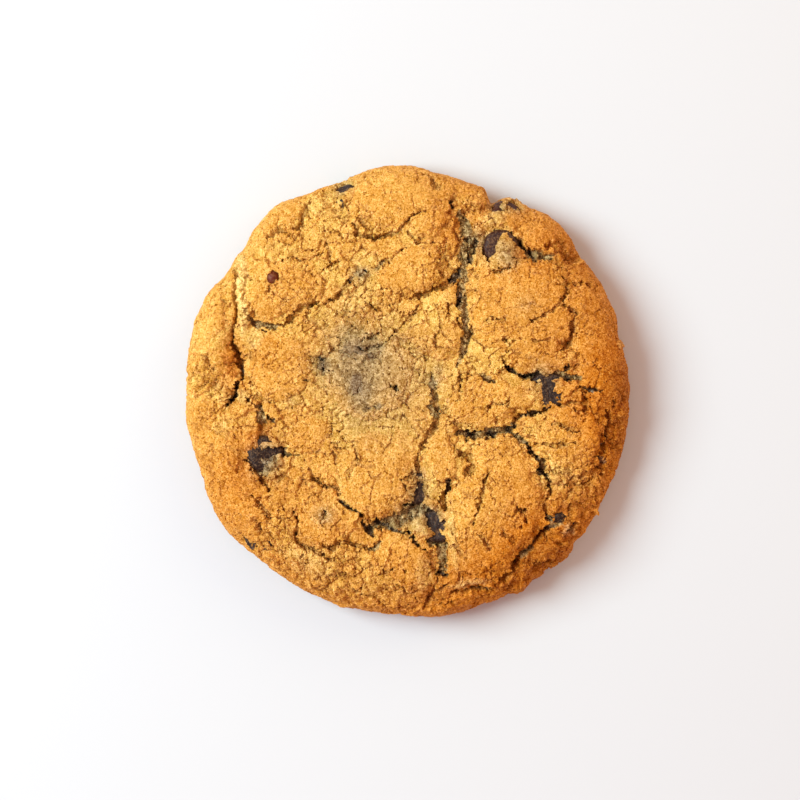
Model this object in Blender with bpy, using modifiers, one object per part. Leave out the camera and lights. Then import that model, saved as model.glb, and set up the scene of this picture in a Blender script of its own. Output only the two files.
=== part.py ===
"""A round chocolate chip cookie lying flat: one cracked dough solid and the chips that show in it.

Sizes are in millimetres and become metres when a mesh is written. The cookie rests on z = 0, centred on
the Z axis, with its cracked face up.
"""

import math

import bpy
import numpy as np
from mathutils import Matrix, Vector

MM = 0.001
OBJECT_NAME = "chocolate_chip_cookie"

# The round body, before it is made uneven.
RIM_RADIUS = 45.1
RIM_HEIGHT = 4.6
FOOT_RADIUS = 41.5
SHOULDER_RADIUS = 36.0
SHOULDER_HEIGHT = 12.7
CROWN_HEIGHT = 13.5
AROUND_STEPS = 360
ROW_SPACING = 0.55
DOUGH_TRIANGLES = 5900

# Lumps and dents of the outline: angle in degrees, half width in degrees, height.
OUTLINE_LUMPS = (
    (10, 8, -0.2),
    (15, 3, -0.5),
    (30, 6, -0.3),
    (34, 4, -0.6),
    (47, 8, 0.5),
    (57, 4, -0.4),
    (66.2, 2.3, -2.8),
    (75, 8, -0.9),
    (97, 6, 0.4),
    (106, 3, -0.3),
    (122, 10, 0.2),
    (132, 10, -0.4),
    (138, 3, -0.7),
    (147, 6, -0.9),
    (168, 8, 0.4),
    (200, 5, -0.3),
    (216, 11, 1.2),
    (240, 12, 0.2),
    (255, 16, 0.3),
    (282, 10, 0.8),
    (300, 3, 0.9),
    (311, 12, 1.6),
    (318.5, 1.6, -1.2),
    (335, 8, 0.25),
    (346, 7, 0.3),
)

# Puffed crust plates and the sunk middle: centre x, y, radius, height.
SWELLS = (
    (24.0, 17.0, 12.0, 1.0),
    (18.5, -22.0, 11.0, 1.2),
    (-26.0, 36.0, 6.0, 1.0),
    (-3.0, 38.0, 8.0, 0.9),
    (-27.0, 4.0, 7.0, 0.8),
    (-1.0, -34.0, 6.0, 0.9),
    (-5.0, -18.0, 8.0, 0.6),
    (-24.0, 23.0, 7.0, 0.6),
    (-34.0, 19.0, 2.4, 0.9),
    (21.0, 27.6, 2.6, 0.9),
    (-8.0, 5.0, 10.0, -0.7),
)

# Cracks of the crust: depth, then points x, y, half width along the crack.
CRACKS = {
    "left_rim": (
        2.6,
        ((-35, 24.5, 0.3), (-35, 18, 0.5), (-35.4, 12, 0.6), (-34, 6.5, 0.9), (-33.2, 3, 0.7)),
    ),
    "left_rim_lower": (2.4, ((-33.2, 3, 0.6), (-34.6, -0.5, 0.7), (-36.4, -3.4, 0.5))),
    "upper_lump": (
        1.2,
        ((-28.4, 30.2, 0.3), (-24, 31.9, 0.6), (-21.7, 34.6, 0.6), (-19.3, 38.8, 0.6)),
    ),
    "long_west": (
        1.8,
        ((-33, 15.4, 0.5), (-30.2, 13.4, 0.9), (-26, 13, 0.8), (-21.4, 16.7, 0.8), (-18, 18, 0.5)),
    ),
    "long_east": (
        1.8,
        ((-15.6, 18.2, 0.5), (-12, 21.4, 0.7), (-9, 24, 1.0), (-5.2, 25.6, 0.7), (-0.2, 28.9, 0.4)),
    ),
    "top": (
        1.5,
        ((-11.6, 33.8, 0.4), (-10.3, 31.5, 0.7), (-6.4, 30.5, 0.7), (-2, 32.2, 0.7), (1, 34.7, 0.4)),
    ),
    "spine_top": (
        2.0,
        ((9.2, 38.6, 0.9), (10.6, 35, 2.1), (11.2, 30, 2.4), (10.6, 25, 1.6), (10.4, 21, 1.1)),
    ),
    "spine_low": (
        1.9,
        ((10.4, 21, 1.1), (11, 17, 1.2), (11.6, 12, 1.1), (10.8, 8, 0.9), (10, 6, 0.5)),
    ),
    "spine_branch": (1.6, ((1, 18.6, 0.5), (3.4, 19.8, 0.9), (7, 20.9, 0.7), (9.6, 22.6, 1.0))),
    "upper_right": (2.8, ((19.4, 32, 0.6), (21.4, 29.6, 0.9), (25, 27.2, 0.9))),
    "upper_right_crescent": (
        1.6,
        ((15.6, 26.8, 0.9), (15.5, 29.0, 1.0), (16.4, 31.3, 1.0), (19.3, 32.3, 0.7)),
    ),
    "upper_right_rim": (
        1.8,
        ((25, 27.2, 0.9), (28.4, 27.2, 1.1), (31.4, 28.2, 1.4), (34.8, 27, 0.9)),
    ),
    "right_plate": (
        1.0,
        ((24, 13.7, 0.4), (28.5, 16.3, 0.6), (31.5, 19.6, 0.6), (32, 21.5, 0.6), (36.3, 21.3, 0.4)),
    ),
    "right_hook": (1.2, ((31, 17, 0.4), (33.3, 15.2, 0.6), (32.5, 12.4, 0.6), (31.2, 9, 0.5))),
    "right_chip": (
        2.9,
        ((19.4, 5.2, 0.5), (22, 3.7, 0.8), (25, 3.4, 1.0), (28.2, 1.4, 1.1), (29.5, -2.4, 0.9)),
    ),
    "right_east": (1.8, ((28.4, 2.4, 0.8), (31.6, 2.7, 0.9), (34.2, 2.6, 0.6))),
    "lower_right_west": (
        2.0,
        ((8.2, -6.9, 0.6), (10.2, -8.6, 0.9), (15, -8.4, 1.1), (19, -7.7, 1.0), (21.4, -5.6, 0.8)),
    ),
    "lower_right_east": (1.8, ((21.4, -5.6, 0.8), (25, -4.1, 0.7), (28.6, -3, 0.7))),
    "lower_right_rim": (
        1.6,
        ((20.4, -7.8, 0.7), (24, -10.4, 0.7), (26.6, -14.6, 0.7), (28, -19.3, 0.5)),
    ),
    "lower_right_far": (
        1.8,
        ((27.6, -24.4, 0.5), (26, -29, 0.7), (22.4, -33.8, 0.9), (19.6, -38, 0.7)),
    ),
    "right_rim": (
        1.4,
        ((40.4, -4.2, 0.4), (40.4, -9.5, 0.8), (39.5, -14, 0.7), (40.3, -17.4, 0.4)),
    ),
    "middle_top": (1.0, ((-10, 9.2, 0.4), (-5.6, 9.4, 0.6), (-2.3, 12.1, 0.6), (1.4, 17, 0.5))),
    "middle_low": (
        1.5,
        ((5.3, -2.6, 0.5), (5.2, -6.4, 0.9), (3.6, -10.4, 0.7), (1.6, -14, 0.7), (2.2, -18, 0.8)),
    ),
    "inner_plate": (1.3, ((10.6, -10.4, 0.4), (12.8, -14.2, 0.7), (11, -17, 0.4))),
    "inner_slot": (1.5, ((8.4, -17.4, 0.6), (7.4, -20.4, 0.8), (7, -23, 0.8))),
    "lower_chips": (
        2.6,
        ((2.2, -18, 0.9), (2.6, -21.2, 1.3), (4.6, -24.4, 1.4), (6.8, -27.2, 1.1)),
    ),
    "lower_valley": (
        2.0,
        ((1, -23.8, 1.6), (-3, -26, 1.5), (-7.8, -27.6, 1.3), (-10.2, -24.6, 0.7), (-13.8, -21.8, 0.6)),
    ),
    "lower_spine": (
        1.9,
        ((5.2, -29, 1.0), (6.6, -32, 1.1), (6.8, -36.6, 0.9), (4.6, -41, 0.7), (3, -43.8, 0.5)),
    ),
    "lower_west": (
        1.4,
        ((-13.8, -20.6, 0.5), (-15.4, -19.1, 0.6), (-18.8, -17.6, 0.5), (-20, -14.8, 0.4)),
    ),
    "lower_arc": (
        1.1,
        ((-15.8, -31.2, 0.5), (-12, -30.2, 0.6), (-8.4, -30.8, 0.6), (-6, -29.8, 0.7)),
    ),
    "left_chip": (
        1.7,
        ((-32.2, -1.3, 0.5), (-29.8, -4.2, 0.8), (-28.4, -8.2, 1.2), (-27.6, -12, 1.6)),
    ),
    "left_low": (
        1.6,
        ((-33.4, -13.4, 0.4), (-30.2, -15, 1.0), (-28.4, -18, 0.7), (-27.2, -20.2, 0.5)),
    ),
    "left_foot": (
        1.4,
        ((-31.3, -20.7, 0.4), (-28.7, -24, 0.7), (-24.9, -25.6, 0.5), (-22.8, -23.6, 0.5)),
    ),
    "left_far": (
        1.6,
        ((-22.7, -24.6, 0.4), (-22.2, -29, 0.6), (-19.6, -31.6, 0.7), (-16, -33.6, 0.5)),
    ),
    "bottom_wall": (1.2, ((17, -39.6, 0.4), (12, -40.3, 0.7), (6, -42.6, 0.5))),
}

# Pits of the crust over the chips: centre x, y, half sizes along and across, turn in degrees, depth.
HOLLOWS = (
    (-28.0, -12.2, 2.6, 1.5, 10, 2.6),
    (-12.8, 41.9, 2.2, 1.3, 5, 2.6),
    (-27.0, 22.7, 1.3, 1.1, 0, 0.8),
    (31.7, -27.3, 1.4, 0.9, 70, 2.4),
    (-16.6, -24.6, 1.0, 0.8, 20, 2.2),
    (18.2, 37.4, 1.5, 1.0, -20, 3.0),
    (21.9, 37.9, 2.0, 1.0, -30, 2.6),
    (-31.0, -30.4, 1.1, 0.8, -40, 2.4),
    (-9.2, 23.9, 1.5, 1.0, 20, 2.4),
)

# Chips: base centre x, y, z, the way from base to tip as degrees round and degrees up, radius, height.
CHIP_GAP = 0.3
CHIP_STEPS = 12
CHIPS = {
    "chip_upper_right": ((18.6, 28.9, 12.1), (0, -90), 3.6, 5.4),
    "chip_right": ((28.0, 0.4, 11.4), (0, -90), 4.0, 6.2),
    "chip_lower_inner": ((2.2, -19.4, 11.4), (100, -80), 3.5, 6.0),
    "chip_lower_outer": ((5.9, -26.6, 11.3), (-60, -80), 3.5, 6.0),
    "chip_left": ((-28.3, -12.4, 11.2), (180, -80), 3.8, 6.0),
    "chip_top_rim": ((-12.6, 40.0, 9.0), (-72, -35), 3.2, 5.6),
    "chip_upper_left": ((-27.0, 22.7, 7.5), (0, 90), 3.6, 5.8),
    "chip_lower_right_rim": ((31.0, -26.7, 10.6), (140, -60), 3.0, 5.2),
    "chip_lower_left": ((-16.3, -25.0, 11.6), (90, -88), 3.7, 6.0),
    "chip_top_right_rim": ((20.2, 36.4, 9.2), (-118, -42), 3.2, 5.4),
    "chip_lower_left_rim": ((-30.2, -29.5, 9.7), (44, -55), 3.2, 5.2),
    "chip_upper_valley": ((-9.3, 23.4, 11.3), (0, -90), 3.2, 5.4),
}

CRUST_COLOUR = (0.68, 0.36, 0.10)
CHOCOLATE_COLOUR = (0.045, 0.018, 0.012)


def smooth(low, high, value):
    """0 below low, 1 above high and an even curve between."""
    share = np.clip((value - low) / (high - low), 0.0, 1.0)
    return share * share * (3.0 - 2.0 * share)


def outline_scale(angle):
    """The outline radius at an angle in radians, as a share of the rim radius."""
    radius = np.full_like(angle, RIM_RADIUS)
    for middle, half_width, height in OUTLINE_LUMPS:
        turn = np.degrees(angle) - middle
        turn = (turn + 180.0) % 360.0 - 180.0
        radius += height * np.exp(-((turn / half_width) ** 2))
    return radius / RIM_RADIUS


def section():
    """The half section of the body, from the middle of the top to the middle of the foot."""
    points = []
    for share in np.arange(0.0, 1.0, ROW_SPACING / SHOULDER_RADIUS):
        rise = (CROWN_HEIGHT - SHOULDER_HEIGHT) * math.cos(share * math.pi / 2) ** 2
        points.append((share * SHOULDER_RADIUS, SHOULDER_HEIGHT + rise))
    roll = RIM_RADIUS - SHOULDER_RADIUS
    fall = SHOULDER_HEIGHT - RIM_HEIGHT
    rows = int(math.pi / 2 * 0.5 * (roll + fall) / ROW_SPACING)
    for row in range(rows):
        turn = math.pi / 2 * row / rows
        points.append((SHOULDER_RADIUS + roll * math.sin(turn), RIM_HEIGHT + fall * math.cos(turn)))
    tuck = RIM_RADIUS - FOOT_RADIUS
    rows = int(math.pi / 2 * 0.5 * (tuck + RIM_HEIGHT) / ROW_SPACING)
    for row in range(rows + 1):
        turn = math.pi / 2 * row / rows
        points.append((FOOT_RADIUS + tuck * math.cos(turn), RIM_HEIGHT - RIM_HEIGHT * math.sin(turn)))
    points.append((FOOT_RADIUS * 0.5, 0.0))
    points.append((0.0, 0.0))
    return points


def outward(points, radius, height):
    """The outward direction (across, up) of the section nearest to each given radius and height."""
    line = np.array(points)
    along = np.gradient(line, axis=0)
    along /= np.linalg.norm(along, axis=1)[:, None]
    apart = (line[None, :, 0] - radius[:, None]) ** 2 + (line[None, :, 1] - height[:, None]) ** 2
    nearest = np.argmin(apart, axis=1)
    return -along[nearest, 1], along[nearest, 0]


def ragged(x, y):
    """Moves points a little to and fro, so that a straight route tears unevenly."""
    shift_x = 0.30 * np.sin(1.7 * y + 0.6 * x) + 0.18 * np.sin(3.1 * x - 2.3 * y + 1.0)
    shift_y = 0.30 * np.sin(1.9 * x - 0.5 * y + 2.0) + 0.18 * np.sin(2.7 * y + 2.9 * x)
    return x + shift_x, y + shift_y


def crack_depth(x, y):
    """The depth of the deepest crack at each point."""
    x, y = ragged(x, y)
    deepest = np.zeros_like(x)
    for depth, route in CRACKS.values():
        for start, end in zip(route, route[1:]):
            run_x = end[0] - start[0]
            run_y = end[1] - start[1]
            share = ((x - start[0]) * run_x + (y - start[1]) * run_y) / (run_x**2 + run_y**2)
            share = np.clip(share, 0.0, 1.0)
            away = np.hypot(x - start[0] - share * run_x, y - start[1] - share * run_y)
            half_width = start[2] + (end[2] - start[2]) * share
            inside = 1.0 - smooth(0.5 * half_width, half_width + 0.5, away)
            deepest = np.maximum(deepest, depth * inside)
    return deepest


def hollow_depth(x, y):
    """The depth of the deepest pit at each point."""
    deepest = np.zeros_like(x)
    for middle_x, middle_y, half_long, half_short, turn, depth in HOLLOWS:
        turn = math.radians(turn)
        long = (x - middle_x) * math.cos(turn) + (y - middle_y) * math.sin(turn)
        short = (y - middle_y) * math.cos(turn) - (x - middle_x) * math.sin(turn)
        away = np.hypot(long / half_long, short / half_short)
        deepest = np.maximum(deepest, depth * (1.0 - smooth(0.6, 1.25, away)))
    return deepest


def swell_height(x, y):
    """The height of the puffed plates at each point."""
    total = np.zeros_like(x)
    for middle_x, middle_y, radius, height in SWELLS:
        away = np.hypot(x - middle_x, y - middle_y)
        total += height * np.exp(-((away / radius) ** 2))
    return total


def new_collection(name):
    collection = bpy.data.collections.new(name)
    bpy.context.scene.collection.children.link(collection)
    return collection


def add_object(name, mesh, collection, material=None):
    item = bpy.data.objects.new(name, mesh)
    collection.objects.link(item)
    if material is not None:
        mesh.materials.append(material)
    return item


def section_object(name, points, steps, collection):
    """A half section in the XZ plane, turned once round Z by a Screw modifier."""
    mesh = bpy.data.meshes.new(name)
    corners = [(x * MM, 0.0, z * MM) for x, z in points]
    mesh.from_pydata(corners, [(i, i + 1) for i in range(len(corners) - 1)], [])
    item = add_object(name, mesh, collection)
    turn = item.modifiers.new("turn", "SCREW")
    turn.axis = "Z"
    turn.steps = steps
    turn.render_steps = steps
    turn.use_merge_vertices = True
    turn.merge_threshold = 0.00001
    return item


def as_helper(item):
    item.hide_render = True
    item.display_type = "WIRE"


def painted(name, colour, roughness):
    material = bpy.data.materials.new(name)
    material.use_nodes = True
    shader = material.node_tree.nodes["Principled BSDF"]
    shader.inputs["Base Color"].default_value = (*colour, 1.0)
    shader.inputs["Roughness"].default_value = roughness
    return material


def build_dough(parts, helpers):
    """The body of revolution, made uneven and cracked, then thinned out to the triangles it needs."""
    points = section()
    body = section_object("dough_section", points, AROUND_STEPS, helpers)
    as_helper(body)
    bpy.context.view_layer.update()
    graph = bpy.context.evaluated_depsgraph_get()
    mesh = bpy.data.meshes.new_from_object(body.evaluated_get(graph))
    flat = np.empty(len(mesh.vertices) * 3)
    mesh.vertices.foreach_get("co", flat)
    place = flat.reshape(-1, 3) / MM
    radius = np.hypot(place[:, 0], place[:, 1])
    angle = np.arctan2(place[:, 1], place[:, 0])
    across, up = outward(points, radius, place[:, 2])
    near_rim = smooth(0.5, 1.0, radius / RIM_RADIUS)
    radius = radius * (1.0 + (outline_scale(angle) - 1.0) * near_rim)
    x = radius * np.cos(angle)
    y = radius * np.sin(angle)
    above_foot = smooth(1.0, 6.0, place[:, 2]) * smooth(-0.2, 0.1, up)
    sunk = np.maximum(crack_depth(x, y), hollow_depth(x, y))
    push = (swell_height(x, y) - sunk) * above_foot
    radius = radius + push * across
    place[:, 0] = radius * np.cos(angle)
    place[:, 1] = radius * np.sin(angle)
    place[:, 2] += push * up
    mesh.vertices.foreach_set("co", (place * MM).ravel())
    mesh.name = "dough"
    mesh.shade_smooth()
    mesh.set_sharp_from_angle(angle=math.radians(40))
    dough = add_object("dough", mesh, parts, painted("crust", CRUST_COLOUR, 0.9))
    fewer = dough.modifiers.new("fewer", "DECIMATE")
    mesh.calc_loop_triangles()
    fewer.ratio = DOUGH_TRIANGLES / len(mesh.loop_triangles)
    return dough


def chip_section(radius, height, grown):
    """The half section of a drop-shaped chip from tip to base, grown outwards all round."""
    shape = ((0.22, 0.98), (0.44, 0.82), (0.8, 0.54), (1.0, 0.26), (0.97, 0.08), (0.8, 0.0))
    points = [(0.0, height + grown)]
    for index, (wide, high) in enumerate(shape):
        across = wide * radius + grown
        up = height * high + grown * (1.0 - 2.0 * index / (len(shape) - 1))
        points.append((across, up))
    points.append((0.0, -grown))
    return points


def chip_pose(base, way):
    """The placing of a chip: its base centre and the way its tip points."""
    round_z = math.radians(way[0])
    lift = math.radians(way[1])
    tip = Vector((math.cos(lift) * math.cos(round_z), math.cos(lift) * math.sin(round_z), math.sin(lift)))
    turn = tip.to_track_quat("Z", "Y").to_matrix().to_4x4()
    return Matrix.Translation(Vector(base) * MM) @ turn


def build_chips(dough, parts, helpers):
    """Each chip, and the pocket that keeps the dough clear of it."""
    for name, (base, way, radius, height) in CHIPS.items():
        pose = chip_pose(base, way)
        chip = section_object(name, chip_section(radius, height, 0.0), CHIP_STEPS, parts)
        chip.matrix_world = pose
        chip.data.materials.append(painted(name + "_chocolate", CHOCOLATE_COLOUR, 0.45))
        wider = chip_section(radius, height, CHIP_GAP)
        pocket = section_object(name + "_pocket", wider, CHIP_STEPS, helpers)
        pocket.matrix_world = pose
        as_helper(pocket)
        cut = dough.modifiers.new(name + "_pocket", "BOOLEAN")
        cut.operation = "DIFFERENCE"
        cut.solver = "EXACT"
        cut.object = pocket


def main():
    for item in list(bpy.data.objects):
        bpy.data.objects.remove(item, do_unlink=True)
    parts = new_collection(OBJECT_NAME)
    helpers = new_collection("helpers")
    dough = build_dough(parts, helpers)
    build_chips(dough, parts, helpers)


main()
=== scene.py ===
"""Looks of the chocolate chip cookie: cracked golden crust, torn crumb, dark chips and loose crumbs.

Shapes are worked out in millimetres in the frame's own axes and written in metres. The dough starts as one
fine sheet over the round body: its relief comes from named cracks, pits, lumps and plates, and from noise.
Torn crumb is one closed solid down to the foot, and whole crust lies on it as closed shells.
"""

import math

import bmesh
import bpy
import numpy as np
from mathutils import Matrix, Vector


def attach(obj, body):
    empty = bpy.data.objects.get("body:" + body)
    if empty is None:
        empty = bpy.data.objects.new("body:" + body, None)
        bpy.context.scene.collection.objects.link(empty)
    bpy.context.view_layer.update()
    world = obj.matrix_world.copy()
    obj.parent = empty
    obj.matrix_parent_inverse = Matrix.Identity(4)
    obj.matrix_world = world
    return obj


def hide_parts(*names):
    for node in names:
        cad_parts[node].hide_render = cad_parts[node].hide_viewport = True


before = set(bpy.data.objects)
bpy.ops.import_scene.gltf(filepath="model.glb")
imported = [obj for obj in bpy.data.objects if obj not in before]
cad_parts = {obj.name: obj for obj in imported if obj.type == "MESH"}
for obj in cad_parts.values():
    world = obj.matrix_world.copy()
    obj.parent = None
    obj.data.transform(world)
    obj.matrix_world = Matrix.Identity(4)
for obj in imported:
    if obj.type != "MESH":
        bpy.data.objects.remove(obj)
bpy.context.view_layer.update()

MM = 0.001
BODY = "root"

# The round body under the relief, and how many steps its half section has on the dome, the side and the tuck.
RIM_RADIUS = 45.1
RIM_HEIGHT = 4.6
FOOT_RADIUS = 41.5
SHOULDER_RADIUS = 36.0
SHOULDER_HEIGHT = 12.7
CROWN_HEIGHT = 13.5
DOME_STEPS = 60
SIDE_STEPS = 40
TUCK_STEPS = 24

# The sheet that becomes the dough's meshes.
SHEET_CELLS = 760
FOOT_RINGS = 40
FOOT_DENTS = 0.22
PIECE_TRIANGLES = 192000
SHARP_DEGREES = 55.0

# Sizes in the dough: sandy grains, broken lumps and crust flakes.
GRAIN = 0.62
CHUNK = 1.75
FLAKE = 4.2

# How closely tears and lumps follow the grains, and how far cracks swerve, swell and vary in depth.
RAGGED = 0.75
CHUNK_RAGGED = 0.6
SWERVE = 0.38
FINE_SWERVE = 0.22
CRACK_SWING = 0.55
CRACK_EVEN = 0.86
CRACK_UNEVEN = 0.45

# Cracks: the depth past which crust gives way, the half width past which one lies in a valley, and valleys.
CUT_DEPTH = 0.35
NARROW = 0.3
VALLEY_REACH = 1.7
VALLEY_SHARE = 0.44
VALLEY_MOST = 2.6

# Crust: its shell's thickness, how far down the crumb lies under it, and where the rim's crust begins.
CRUST_THICKNESS = 1.15
CRUST_BED = 0.85
RIM_CRUST_RADIUS = 36.5

# Broad relief: how far the whole sheet sinks, and the heights of soft waves, plates and knobs.
SINK = 0.5
BROAD_WAVES = 0.30
PLATE_RISE = 0.45
KNOBS = 0.5

# Heights of the crust's own relief.
CRUST_LIFT = 0.25
CRUST_WAVES = 0.12
CRUST_FLAKES = 0.12
CRUST_TILT = 0.06
CRUST_GRAINS = 0.17
CRUST_GRAIN_STEPS = 0.08
CRUST_HAIR = 0.34
CRUST_PITS = 0.25
CRUST_EDGE = 0.20
RIM_CHUNKS = 0.55
RIM_CHUNK_STEPS = 0.45

# Heights of the crumb's own relief.
CRUMB_LIFT = 0.10
CRUMB_FLAKES = 0.45
CRUMB_TILT = 0.42
CRUMB_CHUNK_STEPS = 0.80
CRUMB_HAIR = 0.50

# How toasted the rim is, and how much more so at the lower right than at the upper left. The lean to the
# lower right, the side away from the lamp, is partly real browning and partly painted shade.
RIM_TOAST = 0.9
EVEN_SIDE_SHARE = 0.55
SHADED_SIDE_LEAN = 0.32
MOST_TOAST = 1.6

# How far speckles of each kind go from the dough's colour, as shares of full white. Besides the grain's own
# colour they are painted glints on high grains and painted shade in low ones and in pores.
TINT_SPECKLE = 0.12
SAND_SPECKLE = 0.40
FINE_GRAIN_AND_GLINT_SPECKLE = 1.5
PORE_SPECKLE = 0.16
DISPLAY_GAMMA = 2.2

# Loose crumbs, in metres and crumbs for each square metre.
CRUMBS_PER_AREA = 2.2e6
CRUMB_SMALLEST = 0.00010
CRUMB_LARGEST = 0.00042
CRUMB_DENTS = 0.0003

# Lumps and dents of the outline: angle in degrees, half width in degrees, height.
OUTLINE_LUMPS = (
    (10, 8, -0.2),
    (15, 3, -0.5),
    (30, 6, -0.3),
    (34, 4, -0.6),
    (47, 8, 0.5),
    (57, 4, -0.4),
    (66.2, 2.3, -2.8),
    (75, 8, -0.9),
    (97, 6, 0.4),
    (106, 3, -0.3),
    (122, 10, 0.2),
    (132, 10, -0.4),
    (138, 3, -0.7),
    (147, 6, -0.9),
    (168, 8, 0.4),
    (200, 5, -0.3),
    (216, 11, 1.2),
    (240, 12, 0.2),
    (255, 16, 0.3),
    (282, 10, 0.8),
    (300, 3, 0.9),
    (311, 12, 1.6),
    (318.5, 1.6, -1.2),
    (335, 8, 0.25),
    (346, 7, 0.3),
)

# Puffed crust plates and the sunk middle: centre x, y, radius, height.
SWELLS = (
    (24.0, 17.0, 12.0, 1.0),
    (18.5, -22.0, 11.0, 1.2),
    (-26.0, 36.0, 6.0, 1.0),
    (-3.0, 38.0, 8.0, 0.9),
    (-27.0, 4.0, 7.0, 0.8),
    (-1.0, -34.0, 6.0, 0.9),
    (-5.0, -18.0, 8.0, 0.6),
    (-24.0, 23.0, 7.0, 0.6),
    (-8.0, 5.0, 10.0, -0.7),
    (33.6, -18.0, 5.0, -0.8),
    (27.0, -34.0, 4.0, -0.5),
    (32.0, -28.4, 2.6, 0.7),
    (20.6, 28.7, 3.2, 0.85),
    (30.2, -26.2, 3.2, 0.8),
    (-9.6, 23.0, 2.6, 0.4),
    (-35.0, 10.0, 2.6, -1.1),
    (-34.2, 5.0, 2.6, -1.2),
    (-35.2, 0.0, 2.6, -0.8),
    (-35.2, 15.0, 2.2, -0.7),
    (-33.0, -14.0, 3.0, -0.9),
    (-30.4, -18.4, 2.4, -0.7),
    (-28.8, -7.6, 2.4, -0.7),
    (14.0, -42.0, 4.0, -0.4),
    (7.0, -32.0, 3.0, -0.5),
)
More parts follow.
